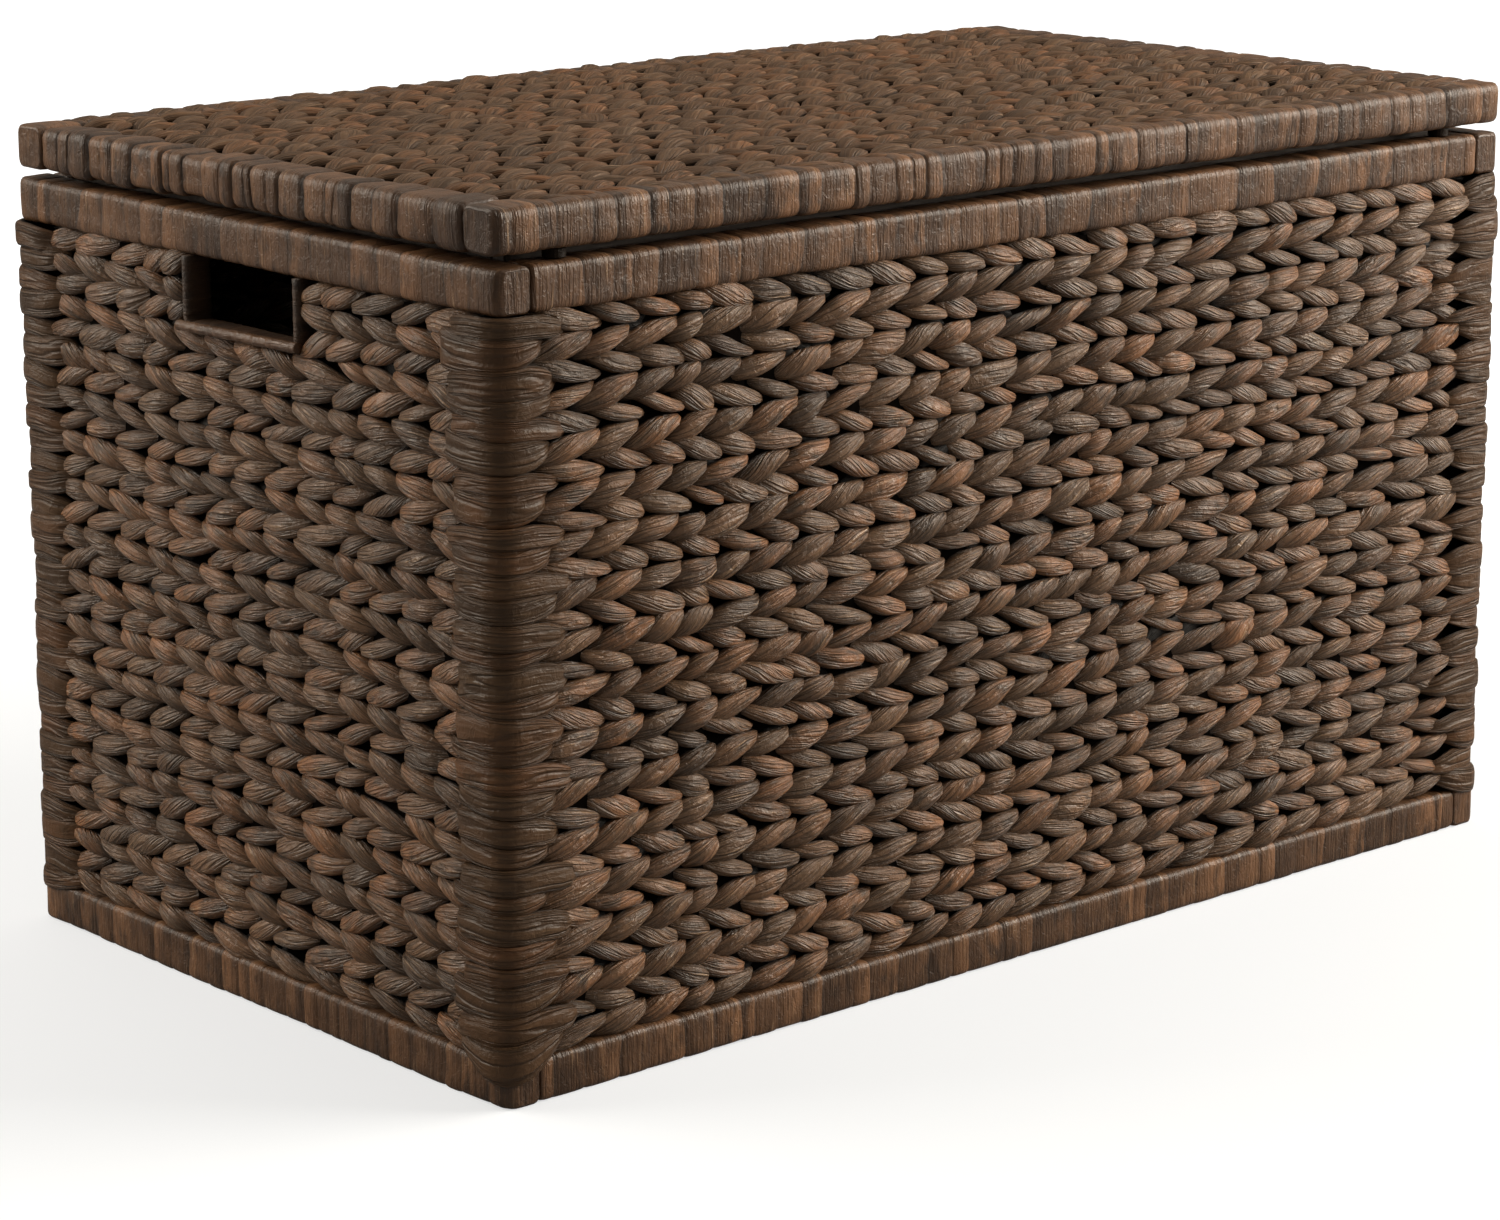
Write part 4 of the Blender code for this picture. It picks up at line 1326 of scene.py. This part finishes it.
def make_stage():
    """The camera, the pale floor, the soft lamps and the surroundings."""
    stage = settings().stage
    scene = bpy.context.scene
    camera = bpy.data.objects.new("camera", bpy.data.cameras.new("camera"))
    camera.data.lens = stage.lens
    camera.data.sensor_width = 36.0
    camera.data.sensor_fit = "HORIZONTAL"
    camera.location = stage.camera_place
    turn, tilt = stage.camera_turn, stage.camera_tilt
    ahead = Vector((-math.sin(turn) * math.cos(tilt), math.cos(turn) * math.cos(tilt), -math.sin(tilt)))
    camera.rotation_euler = ahead.to_track_quat("-Z", "Y").to_euler()
    camera.data.clip_end = 60.0
    scene.collection.objects.link(camera)
    scene.camera = camera

    reach = 16.0
    mesh = bpy.data.meshes.new("studio_floor")
    square = [(-reach, -reach, 0), (reach, -reach, 0), (reach, reach, 0), (-reach, reach, 0)]
    mesh.from_pydata(square, [], [(0, 1, 2, 3)])
    floor = bpy.data.objects.new("studio_floor", mesh)
    scene.collection.objects.link(floor)
    material = bpy.data.materials.new("studio_floor")
    material.use_nodes = True
    tree = material.node_tree
    shader = tree.nodes["Principled BSDF"]
    seen = tree.nodes.new("ShaderNodeLightPath").outputs["Is Camera Ray"]
    tint = blend_colours(tree, seen, scaled(stage.floor, stage.floor_bounce), scaled(stage.floor, 1.0))
    link(tree, tint, shader.inputs["Base Color"])
    away = tree.nodes.new("ShaderNodeVectorMath")
    away.operation = "LENGTH"
    link(tree, tree.nodes.new("ShaderNodeTexCoord").outputs["Object"], away.inputs[0])
    glow = ranged(tree, away.outputs["Value"], 0.6, 1.9, stage.floor_glow, stage.far_glow)
    link(tree, math_node(tree, "MULTIPLY", seen, glow), shader.inputs["Emission Strength"])
    shader.inputs["Roughness"].default_value = 0.9
    shader.inputs["Specular IOR Level"].default_value = 0.1
    mesh.materials.append(material)

    world = bpy.data.worlds.new("studio")
    world.use_nodes = True
    tree = world.node_tree
    place = tree.nodes.new("ShaderNodeTexCoord")
    parts = tree.nodes.new("ShaderNodeSeparateXYZ")
    link(tree, place.outputs["Generated"], parts.inputs[0])
    dome = ranged(tree, parts.outputs[2], 0.0, 1.0, stage.sky_low, stage.sky_high)
    seen = tree.nodes.new("ShaderNodeLightPath").outputs["Is Camera Ray"]
    choose = tree.nodes.new("ShaderNodeMix")
    link(tree, seen, choose.inputs[0])
    link(tree, dome, choose.inputs[2])
    choose.inputs[3].default_value = 1.0
    background = tree.nodes["Background"]
    white = (1.0, 1.0, 1.0, 1.0)
    link(tree, blend_colours(tree, seen, scaled(stage.lamp_colour, 1.0), white), background.inputs["Color"])
    link(tree, choose.outputs[0], background.inputs["Strength"])
    scene.world = world
    centre = (0.0, 0.0, 0.22)
    softbox("lamp_right", (2.1, -1.5, 1.4), centre, (2.0, 1.9), stage.lamp_right)
    softbox("lamp_left", (-1.8, 1.6, 1.4), centre, (1.9, 1.8), stage.lamp_left)
    softbox("lamp_top", (0.3, 0.7, 2.2), centre, (1.6, 1.2), stage.lamp_top)
    scene.view_settings.view_transform = "Standard"
    scene.view_settings.look = "None"


# ---------------------------------------------------------------- operators

# Each corner, its sides along X and Y, and how far its lowest band sags over the base rail.
CORNER_SIDES = (
    ("front_left", -1, -1, 0.0100),
    ("front_right", 1, -1, 0.0030),
    ("back_left", -1, 1, 0.0035),
    ("back_right", 1, 1, 0.0060),
)


class TRUNK_OT_walls(bpy.types.Operator):
    """Weave the four walls, outside and inside"""

    bl_idname = "trunk.walls"
    bl_label = "Woven Walls"

    def execute(self, context):
        for name in ("front", "back", "left", "right"):
            make_wall(name, leaf("wall"))
        return {"FINISHED"}


class TRUNK_OT_corners(bpy.types.Operator):
    """Wrap the four corners in bands of leaf"""

    bl_idname = "trunk.corners"
    bl_label = "Corner Bands"

    def execute(self, context):
        for name, side_x, side_y, sag in CORNER_SIDES:
            make_corner(name, side_x, side_y, sag, leaf("corner"))
        return {"FINISHED"}


class TRUNK_OT_rails(bpy.types.Operator):
    """Wind leaf round the base, rim and lid rails"""

    bl_idname = "trunk.rails"
    bl_label = "Wrapped Rails"

    def execute(self, context):
        make_rails("base_rail", CHEST, leaf("rail"), 0.0090, ("front", "back"))
        make_rails("rim_rail", CHEST, leaf("rail"), 0.0070, ("front", "back"))
        make_rails("lid_rail", LID, leaf("rail"), 0.0060, ("left", "right"))
        return {"FINISHED"}


class TRUNK_OT_lid(bpy.types.Operator):
    """Weave the top and the underside of the lid"""

    bl_idname = "trunk.lid"
    bl_label = "Woven Lid"

    def execute(self, context):
        make_lid_weave(leaf("lid"))
        return {"FINISHED"}


class TRUNK_OT_hand_holes(bpy.types.Operator):
    """Bind the two hand holes with leaf"""

    bl_idname = "trunk.hand_holes"
    bl_label = "Hand Holes"

    def execute(self, context):
        for name in ("left", "right"):
            make_hand_hole(name, leaf("rail"))
        return {"FINISHED"}


class TRUNK_OT_woodwork(bpy.types.Operator):
    """Stain the posts, cross bars, braces and floor board"""

    bl_idname = "trunk.woodwork"
    bl_label = "Woodwork"

    def execute(self, context):
        finish = settings().finish
        # A near-black stain: partly painted shade in the gap between the lid and the rim.
        wood = placed_material(
            "wood_stain",
            "Wood Grain",
            make_wood_grain,
            (0.0004, 0.5),
            specular=0.25,
            Light=scaled(finish.wood, 1.4),
            Deep=scaled(finish.wood, 0.55),
        )
        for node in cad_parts:
            if node.startswith(("corner_post", "base_crossbar", "lid_brace", "lid_lip")):
                finish_node(node, wood)
        finish_node("floor_board", wood)
        return {"FINISHED"}


class TRUNK_OT_hardware(bpy.types.Operator):
    """Coat the hinges and their screws, and felt the bumpers"""

    bl_idname = "trunk.hardware"
    bl_label = "Hinges and Bumpers"

    def execute(self, context):
        finish = settings().finish
        steel = placed_material(
            "hinge_coating",
            "Fine Wear",
            make_fine_wear,
            (0.0002, 0.4),
            Grain=700.0,
            Base=scaled(finish.steel, 1.0),
            Rubbed=scaled(finish.steel, 4.0),
        )
        bright = placed_material(
            "bare_pin_steel",
            "Fine Wear",
            make_fine_wear,
            (0.0001, 0.3),
            metallic=1.0,
            Grain=900.0,
            Base=(0.42, 0.41, 0.40, 1.0),
            Rubbed=(0.60, 0.59, 0.57, 1.0),
        )
        felt = placed_material(
            "dark_felt",
            "Fine Wear",
            make_fine_wear,
            (0.0004, 0.9),
            specular=0.1,
            Grain=1600.0,
            Base=scaled(finish.leaf_dark, 0.16),
            Rubbed=scaled(finish.leaf_dark, 0.5),
        )
        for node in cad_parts:
            if node.startswith(("hinge_leaf", "hinge_screw")):
                finish_node(node, steel)
            elif node.startswith("hinge_pin"):
                finish_node(node, bright)
            elif node.startswith("bumper"):
                finish_node(node, felt)
        return {"FINISHED"}


class TRUNK_OT_stage(bpy.types.Operator):
    """Set up the camera, the floor and the lamps"""

    bl_idname = "trunk.stage"
    bl_label = "Studio"

    def execute(self, context):
        make_stage()
        return {"FINISHED"}


STEPS = (
    TRUNK_OT_stage,
    TRUNK_OT_walls,
    TRUNK_OT_corners,
    TRUNK_OT_rails,
    TRUNK_OT_lid,
    TRUNK_OT_hand_holes,
    TRUNK_OT_woodwork,
    TRUNK_OT_hardware,
)


class TRUNK_PT_panel(bpy.types.Panel):
    """Lists the trunk's parts in the sidebar."""

    bl_label = "Woven Trunk"
    bl_idname = "TRUNK_PT_panel"
    bl_space_type = "VIEW_3D"
    bl_region_type = "UI"
    bl_category = "Woven Trunk"

    def draw(self, context):
        for step in STEPS:
            self.layout.operator(step.bl_idname)


CLASSES = (WeaveSettings, RailSettings, FinishSettings, StageSettings, TrunkSettings, *STEPS, TRUNK_PT_panel)


def register():
    """Registers the classes and hangs the settings on the scene."""
    for cls in CLASSES:
        bpy.utils.register_class(cls)
    bpy.types.Scene.woven_trunk = PointerProperty(type=TrunkSettings)


def unregister():
    """Takes everything off again."""
    del bpy.types.Scene.woven_trunk
    for cls in reversed(CLASSES):
        bpy.utils.unregister_class(cls)


def main():
    """Builds the trunk."""
    register()
    bpy.ops.trunk.stage()
    bpy.ops.trunk.walls()
    bpy.ops.trunk.corners()
    bpy.ops.trunk.rails()
    bpy.ops.trunk.lid()
    bpy.ops.trunk.hand_holes()
    bpy.ops.trunk.woodwork()
    bpy.ops.trunk.hardware()


if __name__ == "__main__":
    main()
